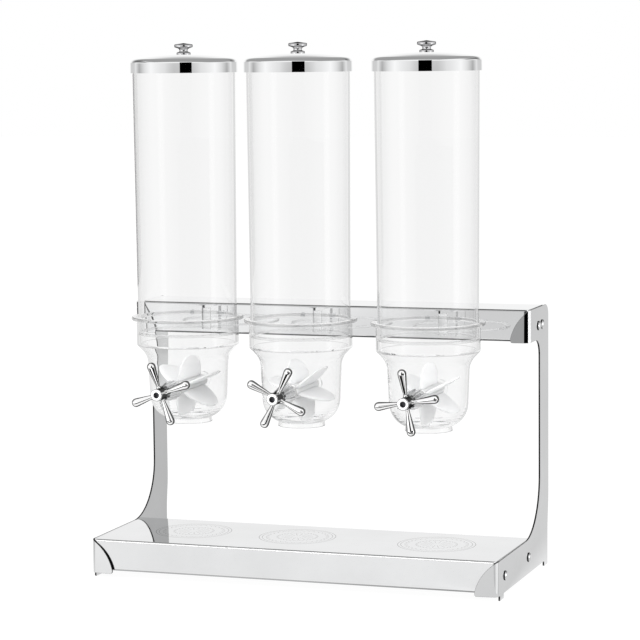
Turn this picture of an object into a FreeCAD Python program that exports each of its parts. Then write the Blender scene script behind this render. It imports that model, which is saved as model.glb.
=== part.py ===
import FreeCAD
import Part
import math
import os

# Table-top gravity food dispenser: three clear canisters on a bent steel stand.
# Millimetres, +Z up, the front faces -Y. The origin is on the table, under the centre of the whole.

# Stand, measured from the front plane of the side plates and from their lower edge.
overall_width = 520.0
sheet = 2.0
thin_sheet = 1.5
bend_radius = 5.0
foot_height = 6.0
foot_length = 18.0
foot_inset = 9.0
base_height = 42.0
base_depth = 242.0
upright_front = 204.0
upright_rear = 247.0
base_sweep = 70.0
head_sweep = 20.0
head_corner = 14.0
head_front = 151.0
head_bottom = 283.5
head_top = 323.5
jog_low = 45.0
jog_high = 78.0
jog_radius = 150.0
flap_radius = 57.0
base_flap = 28.5
head_flap = 24.0
flap_lift = 5.0
flap_corner = 3.5

# Tray and crossbeam, folded from thinner sheet between the side plates.
tray_rear = 158.0
tray_skirt = 3.5
beam_rear = 226.0
beam_bottom = 285.0
beam_top = 324.0
fold_radius = 2.2
lip = 10.0
fit_gap = 0.1

# Dome-head screws and their nuts: (distance from the front, height).
base_screw_places = ((34.0, 20.0), (147.0, 20.0))
beam_screw_places = ((198.0, 300.5), (216.0, 300.5))
dome_radius = 5.9
dome_height = 3.0
screw_radius = 2.5
screw_length = 9.0
nut_width = 8.0
nut_height = 4.0

# Canisters.
sides = ("left", "middle", "right")
canister_offsets = (-158.8, -9.9, 152.7)
canister_depth = 80.0
wall = 2.2
tube_wall = 2.4
tube_top = 626.5
tube_foot_radius = 61.05
tube_top_radius = 63.15

# Hopper, one clear moulding.
neck_bottom = 183.0
neck_top = 188.6
neck_radius = 28.4
neck_lip_radius = 29.2
bowl_low_radius = 47.2
bowl_low = 197.4
bowl_curve = 29.5
bowl_high_radius = 50.2
bowl_high = 266.0
bowl_cove = 24.0
collar_radius = 63.3
collar_bore = 61.55
collar_bottom = 282.5
collar_corner = 3.5
seat_height = 293.5
seat_bore = 58.8
ring_radius = 69.5
ring_bottom = 311.0
ring_top = 315.0
ring_edge = 1.2
ring_flat = 64.8
boss_radius = 10.5
boss_face = 52.0
boss_inner = 42.0
boss_floor = 1.5
seal_height = 2.2

# Rail on the hopper's back and the bracket that it drops into.
clearance = 0.3
rail_bottom = 291.5
rail_top = 318.0
rail_web = 12.0
rail_width = 24.0
rail_plate = 2.5
rail_front = 68.2
bracket_bottom = 288.5
bracket_top = 321.0
bracket_width = 34.0
bracket_ears = 56.0
bracket_lip = 2.5
ear_plate = 2.0
ear_screw_offset = 22.0
ear_screw_radius = 1.5
ear_head_radius = 3.0
ear_head_height = 1.8
ear_screw_drop = 9.0

# Rotor: axle, paddle wheel, sleeve and cross handle. Angles are anticlockwise from +X, at rest.
handle_angles = (20.0, 64.0, 9.0)
blade_angles = (24.0, 43.0, 28.0)
axle_height = 228.5
axle_radius = 4.0
axle_flat = 0.8
axle_front = 98.0
axle_rear = 49.4
running_gap = 0.05
bush_radius = 6.5
bush_flange = 9.0
bush_flange_thick = 1.2
wheel_hub_radius = 9.0
wheel_core_radius = 6.0
wheel_half_length = 37.8
blade_reach = 42.3
blade_half_length = 37.0
blade_corner = 33.0
blade_thick = 4.4
blade_round = 1.5
blade_pairs = 3
sleeve_rear = 53.6
sleeve_front = 86.0
sleeve_rear_radius = 12.1
sleeve_waist = 70.0
sleeve_waist_radius = 11.4
sleeve_front_radius = 7.4
sleeve_curve = 12.0
flutes = 10
flute_radius = 3.2
flute_centre = 14.2
hub_front = 106.0
hub_radius = 7.4
hub_edge = 1.4
recess_radius = 4.6
recess_floor = 99.0
handle_screw_radius = 2.0
handle_screw_head = 2.4
socket_radius = 1.4
socket_depth = 1.2
arm_plane = 91.0
arm_length = 34.8
arm_root = 4.5
arm_root_radius = 2.45
arm_tip_radius = 4.9
ball_radius = 5.15
arms = 4

# Lid: a drawn cap with a turned knob.
cap_skin = 0.9
cap_rim = 616.5
cap_shoulder = 629.6
cap_crown = 636.0
cap_rim_radius = 66.0
cap_top_radius = 65.2
cap_corner = 1.6
knob_collar_radius = 8.6
knob_neck_radius = 4.9
knob_saucer_radius = 11.3
knob_collar_height = 3.9
knob_saucer_base = 9.6
knob_height = 15.8
knob_edge = 1.5
lid_screw_radius = 2.0
lid_screw_reach = 6.0
lid_screw_head = 4.0
lid_screw_head_height = 2.0

half_width = overall_width / 2
canister_front = canister_depth - hub_front
front_y = -(upright_rear + canister_front) / 2
flap_plane = sheet + bend_radius
tray_front = sheet + fit_gap
beam_front = head_front + sheet + fit_gap
tube_foot = seat_height + seal_height + clearance
Z_AXIS = FreeCAD.Vector(0, 0, 1)
Y_AXIS = FreeCAD.Vector(0, 1, 0)
X_AXIS = FreeCAD.Vector(1, 0, 0)


def at(x, depth, height):
    """Point at x, a distance behind the front plane and a height above the plates' lower edge."""
    return FreeCAD.Vector(x, front_y + depth, foot_height + height)


def rounded_wire(corners, place):
    """Closed wire through (u, v, radius) corners, each rounded by its own radius."""
    points = [FreeCAD.Vector(u, v, 0) for u, v, radius in corners]
    spans = []
    for index, corner in enumerate(corners):
        here = points[index]
        radius = corner[2]
        if radius == 0:
            spans.append((here, None, here))
            continue
        back = (points[index - 1] - here).normalize()
        ahead = (points[(index + 1) % len(points)] - here).normalize()
        half_angle = back.getAngle(ahead) / 2
        reach = radius / math.tan(half_angle)
        inward = (back + ahead).normalize()
        middle = here + inward * (radius / math.sin(half_angle) - radius)
        spans.append((here + back * reach, middle, here + ahead * reach))
    edges = []
    for index, (start, middle, end) in enumerate(spans):
        if middle is not None:
            edges.append(Part.Arc(place(start), place(middle), place(end)).toShape())
        following = spans[(index + 1) % len(spans)][0]
        if (following - end).Length > 1e-6:
            edges.append(Part.makeLine(place(end), place(following)))
    return Part.Wire(edges)


def side_profile(corners, x, thickness):
    """Solid of (depth, height, radius) corners, extruded along X from x."""
    wire = rounded_wire(corners, lambda p: at(x, p.x, p.y))
    return Part.Face(wire).extrude(X_AXIS * thickness)


def front_profile(corners, depth, thickness):
    """Solid of (x, height, radius) corners, extruded along Y from a depth."""
    wire = rounded_wire(corners, lambda p: at(p.x, depth, p.y))
    return Part.Face(wire).extrude(Y_AXIS * thickness)


def plan_profile(corners, low, height):
    """Solid of (x, depth, radius) corners, extruded upwards from a height."""
    wire = rounded_wire(corners, lambda p: at(p.x, p.y, low))
    return Part.Face(wire).extrude(Z_AXIS * height)


def turned_upright(corners):
    """Solid of revolution about the canister's axis, from (radius, height, rounding) corners."""
    wire = rounded_wire(corners, lambda p: at(p.x, canister_depth, p.y))
    return Part.Face(wire).revolve(at(0, canister_depth, 0), Z_AXIS, 360)


def turned_on_axle(corners):
    """Solid of revolution about the axle, from (distance behind the canister axis, radius, rounding)."""
    wire = rounded_wire(corners, lambda p: at(0, canister_depth + p.x, axle_height + p.y))
    return Part.Face(wire).revolve(at(0, 0, axle_height), Y_AXIS, 360)


def block(x_low, x_high, depth_low, depth_high, low, high):
    """Box between two x, two depths and two heights."""
    size = (x_high - x_low, depth_high - depth_low, high - low)
    return Part.makeBox(*size, at(x_low, depth_low, low))


def rod_along_x(radius, x_low, x_high, depth, height):
    """Cylinder along X."""
    return Part.makeCylinder(radius, x_high - x_low, at(x_low, depth, height), X_AXIS)


def rod_along_y(radius, x, depth_low, depth_high, height):
    """Cylinder along Y."""
    return Part.makeCylinder(radius, depth_high - depth_low, at(x, depth_low, height), Y_AXIS)


def hexagon_along_x(width, x_low, x_high, depth, height):
    """Hexagonal prism along X."""
    corner = width / math.sqrt(3)
    turns = [math.radians(60 * step) for step in range(6)]
    points = [(depth + corner * math.cos(a), height + corner * math.sin(a), 0) for a in turns]
    return side_profile(points, x_low, x_high - x_low)


def plate_outline():
    """Side plate as (depth, height, radius) corners: base, upright, head and two foot tabs."""
    front_foot_end = foot_inset + foot_length
    rear_foot_start = base_depth - foot_length
    return (
        (flap_plane, 0, 0),
        (foot_inset, 0, 0),
        (foot_inset, -foot_height, 1.5),
        (front_foot_end, -foot_height, 1.5),
        (front_foot_end, 0, 1.5),
        (rear_foot_start, 0, 1.5),
        (rear_foot_start, -foot_height, 1.5),
        (base_depth, -foot_height, 1.5),
        (base_depth, jog_low, jog_radius),
        (upright_rear, jog_high, jog_radius),
        (upright_rear, head_top, head_corner),
        (head_front + flap_plane, head_top, 0),
        (head_front + flap_plane, head_bottom, 0),
        (upright_front, head_bottom, head_sweep),
        (upright_front, base_height, base_sweep),
        (flap_plane, base_height, 0),
    )


def flap_outline(width, low, high):
    """Flap seen from the front, on the right: its free edge is one long arc to the top corner."""
    outer = FreeCAD.Vector(half_width, high, 0)
    inner = FreeCAD.Vector(half_width - width, low + flap_lift, 0)
    chord = inner - outer
    half_chord = chord.Length / 2
    rise = flap_radius - math.sqrt(flap_radius ** 2 - half_chord ** 2)
    outward = FreeCAD.Vector(chord.y, -chord.x, 0).normalize()
    if outward.x > 0:
        outward = -outward
    return outer, outer + chord * 0.5 + outward * rise, inner


def bent_flap(width, depth, low, high):
    """Bend and flap at the right plate's front edge, cut to the arc."""
    right = half_width
    bend_end = right - flap_plane
    strip = Part.makeBox(bend_end - right + 2 * width, sheet, high - low, at(right - 2 * width, depth, low))
    bend_centre = at(bend_end, depth + flap_plane, low)
    bend = Part.makeCylinder(flap_plane, high - low, bend_centre, Z_AXIS)
    bend = bend.cut(Part.makeCylinder(bend_radius, high - low, bend_centre, Z_AXIS))
    bend = bend.common(block(bend_end, right, depth, depth + flap_plane, low, high))
    outer, crest, inner = (at(p.x, depth - 1, p.y) for p in flap_outline(width, low, high))
    corner_start = at(right - width, depth - 1, low + flap_corner)
    corner_middle = at(
        right - width + flap_corner * (1 - math.sqrt(0.5)),
        depth - 1,
        low + flap_corner * (1 - math.sqrt(0.5)),
    )
    corner_end = at(right - width + flap_corner, depth - 1, low)
    bottom_outer = at(right, depth - 1, low)
    edges = [
        Part.Arc(outer, crest, inner).toShape(),
        Part.makeLine(inner, corner_start),
        Part.Arc(corner_start, corner_middle, corner_end).toShape(),
        Part.makeLine(corner_end, bottom_outer),
        Part.makeLine(bottom_outer, outer),
    ]
    keep = Part.Face(Part.Wire(edges)).extrude(Y_AXIS * (flap_plane + 2))
    return strip.fuse(bend).common(keep)


def make_side_plate():
    """Right side plate with both front flaps and its screw holes."""
    plate = side_profile(plate_outline(), half_width - sheet, sheet)
    plate = plate.fuse(bent_flap(base_flap, 0, 0, base_height))
    plate = plate.fuse(bent_flap(head_flap, head_front, head_bottom, head_top))
    for depth, height in base_screw_places + beam_screw_places:
        plate = plate.cut(rod_along_x(screw_radius, half_width - 2 * sheet, half_width, depth, height))
    return plate.removeSplitter()


def pan_block(front, rear, bottom, top, end, inset):
    """Solid block of a folded pan, with every face moved in by the inset."""
    fold = fold_radius - inset
    corners = (
        (front + inset, bottom + inset, fold),
        (rear - inset, bottom + inset, fold),
        (rear - inset, top - inset, fold),
        (front + inset, top - inset, fold),
    )
    nest = bend_radius - inset
    plan = (
        (-end + inset, front + inset, nest),
        (end - inset, front + inset, nest),
        (end - inset, rear - inset, 0),
        (-end + inset, rear - inset, 0),
    )
    side = side_profile(corners, -end, 2 * end)
    return side.common(plan_profile(plan, bottom, top - bottom))


def folded_pan(front, rear, bottom, top):
    """Sheet pan with a return lip round its lower edge; its front corners nest in the plates' bends."""
    end = half_width - sheet
    outside = pan_block(front, rear, bottom, top, end, 0)
    inside = pan_block(front, rear, bottom, top, end, thin_sheet)
    mouth = block(-end + lip, end - lip, front + lip, rear - lip, bottom - 1, bottom + lip)
    return outside.cut(inside).cut(mouth)


def drill_ends(shape, places):
    """Cut the screw holes through both end walls."""
    for depth, height in places:
        shape = shape.cut(rod_along_x(screw_radius, -half_width, half_width, depth, height))
    return shape


def make_tray():
    """Base tray."""
    return drill_ends(folded_pan(tray_front, tray_rear, tray_skirt, base_height), base_screw_places)


def make_crossbeam():
    """Box beam that carries the three brackets."""
    beam = folded_pan(beam_front, beam_rear, beam_bottom, beam_top)
    beam = drill_ends(beam, beam_screw_places)
    for x in canister_offsets:
        for side in (-1, 1):
            beam = beam.cut(ear_screw_hole(x + side * ear_screw_offset))
    return beam


def dome_screw(depth, height):
    """Dome-head screw in the right plate, turned about its own axis."""
    face = half_width
    dome = (dome_radius ** 2 + dome_height ** 2) / (2 * dome_height)
    ball = Part.makeSphere(dome, at(face + dome_height - dome, depth, height))
    head = ball.common(rod_along_x(dome_radius, face, face + dome_height, depth, height))
    return head.fuse(rod_along_x(screw_radius, face - screw_length, face, depth, height))


def hex_nut(depth, height):
    """Nut behind the folded end wall."""
    seat = half_width - sheet - thin_sheet
    nut = hexagon_along_x(nut_width, seat - nut_height, seat, depth, height)
    return nut.cut(rod_along_x(screw_radius, seat - nut_height, seat, depth, height))


def both_sides(shapes):
    """The shapes and their mirror images, as separate solids."""
    mirrored = [shape.mirror(FreeCAD.Vector(), X_AXIS) for shape in shapes]
    return Part.makeCompound(list(shapes) + mirrored)


def ear_screw_hole(x):
    """Bore of one bracket screw through the ear and the beam's front."""
    height = bracket_top - ear_screw_drop
    return rod_along_y(ear_screw_radius, x, beam_front - ear_plate, beam_front + thin_sheet, height)


def make_bracket():
    """Channel on the beam: it holds the hopper's rail from both sides and from below."""
    half = bracket_width / 2
    channel_front = canister_depth + rail_front - clearance - bracket_lip
    rail_back = canister_depth + rail_front + rail_plate + clearance
    ears = block(-bracket_ears / 2, bracket_ears / 2,
                 beam_front - ear_plate, beam_front, bracket_bottom + lip, bracket_top)
    corners = (
        (-half, bracket_bottom, 4),
        (half, bracket_bottom, 4),
        (half, bracket_top, 0),
        (-half, bracket_top, 0),
    )
    body = front_profile(corners, channel_front, beam_front - channel_front)
    slot = rail_width / 2 + clearance
    web = rail_web / 2 + clearance
    floor = rail_bottom - clearance
    pocket = block(-slot, slot, channel_front + bracket_lip, rail_back, floor, bracket_top + 1)
    mouth = block(-web, web, channel_front - 1, rail_back, floor, bracket_top + 1)
    bracket = body.fuse(ears).cut(pocket).cut(mouth)
    for side in (-1, 1):
        bracket = bracket.cut(ear_screw_hole(side * ear_screw_offset))
    return bracket.removeSplitter()


def ear_screw(x):
    """Flat-topped screw that holds a bracket's ear to the beam."""
    height = bracket_top - ear_screw_drop
    face = beam_front - ear_plate
    head = rod_along_y(ear_head_radius, x, face - ear_head_height, face, height)
    return head.fuse(rod_along_y(ear_screw_radius, x, face, beam_front + 4 * thin_sheet, height))


def hopper_outline():
    """Wall of the hopper as (radius, height, rounding) corners: outside up, inside down."""
    return (
        (neck_lip_radius, neck_bottom, 0),
        (neck_radius, neck_top, 0),
        (bowl_low_radius, bowl_low, bowl_curve),
        (bowl_high_radius, bowl_high, bowl_cove),
        (collar_radius, collar_bottom, collar_corner),
        (collar_radius, ring_bottom, 0),
        (ring_radius, ring_bottom, ring_edge),
        (ring_radius, ring_top, ring_edge),
        (collar_bore, ring_top, 0),
        (collar_bore, seat_height, 0),
        (seat_bore, seat_height, 0),
        (seat_bore, collar_bottom + wall, 0),
        (bowl_high_radius - wall, bowl_high + wall / 2, bowl_cove + wall),
        (bowl_low_radius - wall, bowl_low + wall / 2, bowl_curve - wall),
        (neck_radius - wall, neck_top + wall, 0),
        (neck_radius - wall, neck_bottom, 0),
    )


def hopper_rail():
    """T-shaped rail behind the collar."""
    half = rail_width / 2
    web = block(-rail_web / 2, rail_web / 2, canister_depth + collar_bore + 0.7,
                canister_depth + rail_front + rail_plate / 2, rail_bottom, rail_top)
    plate = block(-half, half, canister_depth + rail_front, canister_depth + rail_front + rail_plate,
                  rail_bottom, rail_top)
    return web.fuse(plate)


def make_hopper():
    """Clear hopper: neck, bell-shaped bowl, collar, flange ring, rail and two bearing bosses."""
    front_low = canister_depth - boss_face
    front_high = canister_depth - boss_inner
    rear_low = canister_depth + boss_inner
    rear_high = canister_depth + boss_face
    hopper = turned_upright(hopper_outline())
    hopper = hopper.cut(block(-ring_radius, ring_radius, canister_depth + ring_flat,
                              canister_depth + ring_radius, ring_bottom - 1, ring_top + 1))
    hopper = hopper.fuse(hopper_rail())
    hopper = hopper.fuse(rod_along_y(boss_radius, 0, front_low, front_high, axle_height))
    hopper = hopper.fuse(rod_along_y(boss_radius, 0, rear_low, rear_high, axle_height))
    hopper = hopper.cut(rod_along_y(bush_radius, 0, front_low, front_high, axle_height))
    hopper = hopper.cut(rod_along_y(bush_radius, 0, rear_low, rear_high - boss_floor, axle_height))
    return hopper.removeSplitter()


def make_front_bush():
    """Flanged bush in the front boss."""
    bore = axle_radius + running_gap
    flange_front = -boss_face - bush_flange_thick
    return turned_on_axle((
        (-boss_inner, bore, 0),
        (-boss_inner, bush_radius, 0),
        (-boss_face, bush_radius, 0),
        (-boss_face, bush_flange, 0),
        (flange_front, bush_flange, 0),
        (flange_front, bore, 0),
    ))


def make_rear_bush():
    """Bush in the rear boss."""
    bore = axle_radius + running_gap
    floor = boss_face - boss_floor
    return turned_on_axle((
        (boss_inner, bore, 0),
        (boss_inner, bush_radius, 0),
        (floor, bush_radius, 0),
        (floor, bore, 0),
    ))


def make_seal():
    """Soft ring on the hopper's seat, under the tube."""
    return turned_upright((
        (seat_bore, seat_height, 0),
        (collar_bore, seat_height, 0),
        (collar_bore, seat_height + seal_height, 0),
        (seat_bore, seat_height + seal_height, 0),
    ))


def make_tube():
    """Clear canister tube with a slight moulding taper."""
    return turned_upright((
        (tube_foot_radius, tube_foot, 0),
        (tube_top_radius, tube_top, 0),
        (tube_top_radius - tube_wall, tube_top, 0),
        (tube_foot_radius - tube_wall, tube_foot, 0),
    ))


def turned_about_axle(shape, angle):
    """The shape turned about the axle, anticlockwise as seen from the front."""
    turned = shape.copy()
    turned.rotate(at(0, 0, axle_height), Y_AXIS, -angle)
    return turned


def axle_flat_cut(low, high):
    """Block that planes the axle's drive flat between two distances behind the canister axis."""
    return block(-axle_radius, axle_radius, canister_depth + low, canister_depth + high,
                 axle_height + axle_radius - axle_flat, axle_height + axle_radius)


def axle_stretch(low, high):
    """Flatted stretch of the axle between two distances behind the canister axis."""
    rod = rod_along_y(axle_radius, 0, canister_depth + low, canister_depth + high, axle_height)
    return rod.cut(axle_flat_cut(low, high))


def make_axle():
    """Axle: round in the bushes, flatted in the wheel and in the handle, tapped in front."""
    axle = rod_along_y(axle_radius, 0, canister_depth - axle_front, canister_depth + axle_rear, axle_height)
    axle = axle.cut(axle_flat_cut(-axle_front, -sleeve_rear))
    axle = axle.cut(axle_flat_cut(-wheel_half_length, wheel_half_length))
    return axle.cut(rod_along_y(handle_screw_radius, 0, canister_depth - axle_front,
                                canister_depth - arm_plane, axle_height))


def make_blade_pair():
    """Two opposite leaf-shaped blades: one rounded plate with its middle left to the hub."""
    near = canister_depth - blade_half_length
    far = canister_depth + blade_half_length
    low = axle_height - blade_reach
    high = axle_height + blade_reach
    pair = side_profile((
        (near, low, blade_corner),
        (far, low, blade_corner),
        (far, high, blade_corner),
        (near, high, blade_corner),
    ), -blade_thick / 2, blade_thick)
    rims = [edge for edge in pair.Edges if abs(edge.BoundBox.XLength) < fit_gap]
    middle = rod_along_y(wheel_core_radius, 0, near - 1, far + 1, axle_height)
    return pair.makeFillet(blade_round, rims).cut(middle)


def make_paddle_wheel(first_blade, handle_angle):
    """Soft wheel of six blades on a hub, with the axle's flatted bore at the handle's angle."""
    wheel = turned_on_axle((
        (-wheel_half_length, 0, 0),
        (-wheel_half_length, wheel_hub_radius, 0),
        (wheel_half_length, wheel_hub_radius, 0),
        (wheel_half_length, 0, 0),
    ))
    upright_pair = make_blade_pair()
    for pair in range(blade_pairs):
        wheel = wheel.fuse(turned_about_axle(upright_pair, first_blade - 90 + pair * 180 / blade_pairs))
    bore = axle_stretch(-wheel_half_length, wheel_half_length)
    return wheel.cut(turned_about_axle(bore, handle_angle))


def make_sleeve():
    """Fluted bell between the bowl and the handle."""
    sleeve = turned_on_axle((
        (-sleeve_rear, 0, 0),
        (-sleeve_rear, sleeve_rear_radius, 0),
        (-sleeve_waist, sleeve_waist_radius, sleeve_curve),
        (-sleeve_front, sleeve_front_radius, 0),
        (-sleeve_front, 0, 0),
    ))
    cutter = rod_along_y(flute_radius, 0, canister_depth - sleeve_front - 1,
                         canister_depth - sleeve_rear + 1, axle_height)
    cutter.translate(Z_AXIS * flute_centre)
    for flute in range(flutes):
        sleeve = sleeve.cut(turned_about_axle(cutter, flute * 360 / flutes))
    return sleeve.cut(axle_stretch(-sleeve_front, -sleeve_rear))


def make_handle_arm():
    """One arm of the cross: a slim taper that ends in a ball, pointing up."""
    root = at(0, canister_depth - arm_plane, axle_height + arm_root)
    tip = at(0, canister_depth - arm_plane, axle_height + arm_length)
    arm = Part.makeCone(arm_root_radius, arm_tip_radius, arm_length - arm_root, root, Z_AXIS)
    return arm.fuse(Part.makeSphere(ball_radius, tip))


def make_cross_handle():
    """Cross handle: a hub with a recess for the screw and four arms."""
    handle = turned_on_axle((
        (-sleeve_front, 0, 0),
        (-sleeve_front, hub_radius, 0),
        (-hub_front, hub_radius, hub_edge),
        (-hub_front, recess_radius, 0),
        (-recess_floor, recess_radius, 0),
        (-recess_floor, 0, 0),
    ))
    upright_arm = make_handle_arm()
    for turn in range(arms):
        handle = handle.fuse(turned_about_axle(upright_arm, turn * 360 / arms))
    handle = handle.cut(axle_stretch(-axle_front, -sleeve_front))
    hole = rod_along_y(handle_screw_radius, 0, canister_depth - recess_floor,
                       canister_depth - axle_front, axle_height)
    return handle.cut(hole).removeSplitter()


def make_handle_screw():
    """Socket-head screw in the hub's recess."""
    head_front = -recess_floor - handle_screw_head
    head_radius = recess_radius - clearance
    return turned_on_axle((
        (-arm_plane, 0, 0),
        (-arm_plane, handle_screw_radius, 0),
        (-recess_floor, handle_screw_radius, 0),
        (-recess_floor, head_radius, 0),
        (head_front, head_radius, 0),
        (head_front, socket_radius, 0),
        (head_front + socket_depth, socket_radius, 0),
        (head_front + socket_depth, 0, 0),
    ))


def crown_ball(inset):
    """Sphere whose top is the lid's shallow dome, moved in by the inset."""
    half = cap_top_radius - cap_corner
    rise = cap_crown - cap_shoulder
    radius = (half ** 2 + rise ** 2) / (2 * rise)
    return Part.makeSphere(radius - inset, at(0, canister_depth, cap_crown - radius))


def rod_upright(radius, low, high):
    """Cylinder on the canister's axis."""
    return Part.makeCylinder(radius, high - low, at(0, canister_depth, low), Z_AXIS)


def make_lid_cap():
    """Drawn cap: flared band, tight shoulder, shallow dome."""
    half = cap_top_radius - cap_corner
    band = turned_upright((
        (0, cap_rim, 0),
        (cap_rim_radius, cap_rim, 0),
        (cap_top_radius, cap_shoulder, cap_corner),
        (0, cap_shoulder, 0),
    ))
    hollow = turned_upright((
        (0, cap_rim, 0),
        (cap_rim_radius - cap_skin, cap_rim, 0),
        (cap_top_radius - cap_skin, cap_shoulder - cap_skin, cap_corner - cap_skin),
        (0, cap_shoulder - cap_skin, 0),
    ))
    crown = crown_ball(0).common(rod_upright(half, cap_shoulder - cap_skin, cap_crown))
    under_crown = crown_ball(cap_skin).common(rod_upright(half - 2 * cap_skin, cap_rim, cap_crown))
    cap = band.fuse(crown).cut(hollow).cut(under_crown)
    return cap.cut(rod_upright(lid_screw_radius, cap_rim, cap_crown + 1)).removeSplitter()


def make_gasket():
    """Soft ring inside the cap, over the tube's rim."""
    low = tube_top + clearance
    high = cap_shoulder - cap_skin
    bore = tube_top_radius - tube_wall - 1
    rim = cap_top_radius - cap_skin - cap_corner / 2
    return turned_upright((
        (bore, low, 0),
        (rim, low, 0),
        (rim, high, 0),
        (bore, high, 0),
    ))


def make_knob():
    """Turned knob: collar, waist and saucer, bored below for the lid screw."""
    base = cap_crown - clearance
    collar_top = cap_crown + knob_collar_height
    saucer_base = cap_crown + knob_saucer_base
    top = cap_crown + knob_height
    knob = turned_upright((
        (0, base, 0),
        (knob_collar_radius, base, 0),
        (knob_collar_radius, collar_top, knob_edge),
        (knob_neck_radius, collar_top, 0),
        (knob_neck_radius, saucer_base, knob_edge),
        (knob_saucer_radius, saucer_base + knob_edge, knob_edge),
        (knob_saucer_radius, top, knob_edge),
        (0, top, 0),
    ))
    return knob.cut(rod_upright(lid_screw_radius, base, cap_crown + lid_screw_reach)).cut(crown_ball(0))


def make_lid_screw():
    """Screw from inside the cap into the knob."""
    under = cap_crown - cap_skin - fit_gap
    tip = cap_crown + lid_screw_reach
    return turned_upright((
        (0, under - lid_screw_head_height, 0),
        (lid_screw_head, under - lid_screw_head_height, 0),
        (lid_screw_head, under, 0),
        (lid_screw_radius, under, 0),
        (lid_screw_radius, tip, 0),
        (0, tip, 0),
    ))


def write(name, shape):
    """Check one node and write it as STEP."""
    if not shape.Solids or not shape.isValid():
        raise ValueError(name + " is not a sound solid")
    shape.exportStep("parts/" + name + ".step")


def write_stand():
    """Write the stand's nodes."""
    right_plate = make_side_plate()
    write("side_plate_right", right_plate)
    write("side_plate_left", right_plate.mirror(FreeCAD.Vector(), X_AXIS))
    write("base_tray", make_tray())
    write("crossbeam", make_crossbeam())
    write("base_screws", both_sides([dome_screw(*place) for place in base_screw_places]))
    write("base_nuts", both_sides([hex_nut(*place) for place in base_screw_places]))
    write("beam_screws", both_sides([dome_screw(*place) for place in beam_screw_places]))
    write("beam_nuts", both_sides([hex_nut(*place) for place in beam_screw_places]))
    ear_places = [x + side * ear_screw_offset for x in canister_offsets for side in (-1, 1)]
    write("bracket_screws", Part.makeCompound([ear_screw(x) for x in ear_places]))


def fixed_pieces():
    """The pieces that are alike in all three canisters, on the plane x = 0."""
    return {
        "hopper_bracket": make_bracket(),
        "hopper": make_hopper(),
        "front_bush": make_front_bush(),
        "rear_bush": make_rear_bush(),
        "tube_seal": make_seal(),
        "canister_tube": make_tube(),
        "handle_screw": make_handle_screw(),
        "lid_cap": make_lid_cap(),
        "lid_gasket": make_gasket(),
        "lid_knob": make_knob(),
        "lid_screw": make_lid_screw(),
    }


def turning_pieces():
    """The pieces keyed to the axle's flat, with the flat upwards and on the plane x = 0."""
    return {
        "axle": make_axle(),
        "handle_sleeve": make_sleeve(),
        "cross_handle": make_cross_handle(),
    }


def write_canisters():
    """Write the three canisters' nodes, each rotor at its own rest angle."""
    fixed = fixed_pieces()
    turning = turning_pieces()
    for side, x, handle_angle, first_blade in zip(sides, canister_offsets, handle_angles, blade_angles):
        pieces = dict(fixed)
        for name, shape in turning.items():
            pieces[name] = turned_about_axle(shape, handle_angle)
        pieces["paddle_wheel"] = make_paddle_wheel(first_blade, handle_angle)
        for name, shape in pieces.items():
            write(name + "_" + side, shape.translated(X_AXIS * x))


os.makedirs("parts", exist_ok=True)
write_stand()
write_canisters()
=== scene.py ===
import math

import bmesh
import bpy
from bpy.props import FloatProperty, FloatVectorProperty, IntProperty, PointerProperty
from mathutils import Matrix, Vector


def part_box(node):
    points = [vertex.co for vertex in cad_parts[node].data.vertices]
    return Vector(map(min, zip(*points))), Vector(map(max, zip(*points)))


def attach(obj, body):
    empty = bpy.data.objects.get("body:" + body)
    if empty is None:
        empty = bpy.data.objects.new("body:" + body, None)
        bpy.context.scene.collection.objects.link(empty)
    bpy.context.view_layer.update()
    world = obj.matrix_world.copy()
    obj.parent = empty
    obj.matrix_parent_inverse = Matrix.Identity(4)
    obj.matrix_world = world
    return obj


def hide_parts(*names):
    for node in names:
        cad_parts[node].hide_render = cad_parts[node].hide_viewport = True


bl_info = {
    "name": "Gravity Food Dispenser",
    "version": (1, 0, 0),
    "blender": (4, 5, 0),
    "location": "View3D > Sidebar > Dispenser",
    "description": "Builds the visual model of a triple gravity food dispenser around its CAD frame",
    "category": "Add Mesh",
}

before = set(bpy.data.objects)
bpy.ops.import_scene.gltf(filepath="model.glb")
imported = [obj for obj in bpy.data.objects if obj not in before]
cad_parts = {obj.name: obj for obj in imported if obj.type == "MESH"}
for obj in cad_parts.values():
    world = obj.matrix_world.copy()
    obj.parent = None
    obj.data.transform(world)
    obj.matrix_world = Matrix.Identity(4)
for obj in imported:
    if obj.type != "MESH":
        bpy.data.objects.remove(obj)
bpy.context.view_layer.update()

MM = 0.001
SIDES = ("left", "middle", "right")
HANDLE_ANGLES = {"left": 20.0, "middle": 64.0, "right": 9.0}
BLADE_ANGLES = {"left": 24.0, "middle": 43.0, "right": 28.0}

# Turned outlines in mm: distance from the axis, distance along it, radius of the corner
NECK, BOWL_FOOT, BOWL_TOP, STEP, COLLAR = (28.4, 5.6), (47.2, 14.4), (50.2, 83.0), 97.0, 58.8
HOPPER = (
    (29.2, 0.0, 0.5), (*NECK, 0.5), (*BOWL_FOOT, 29.5), (*BOWL_TOP, 24.0), (63.3, STEP, 1.2),
    (63.3, 128.0, 0.8), (69.5, 128.0, 1.4), (69.5, 132.0, 1.4), (61.55, 132.0, 0.6), (61.55, 110.5, 0.3),
    (COLLAR, 110.5, 0.3))
RING_BACK, RAIL_LOW, RAIL_HALF, WEB_HALF = 64.8 * MM, 108.5 * MM, 12.0 * MM, 6.0 * MM
FRONT_BOSS = ((6.5, -52.0, 0), (10.5, -52.0, 0), (10.5, -47.0, 0), (6.5, -47.0, 0))
REAR_BOSS = ((0, 52.0, 0), (0, 50.5, 0), (6.5, 50.5, 0), (6.5, 47.0, 0), (10.5, 47.0, 0), (10.5, 52.0, 0))
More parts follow.
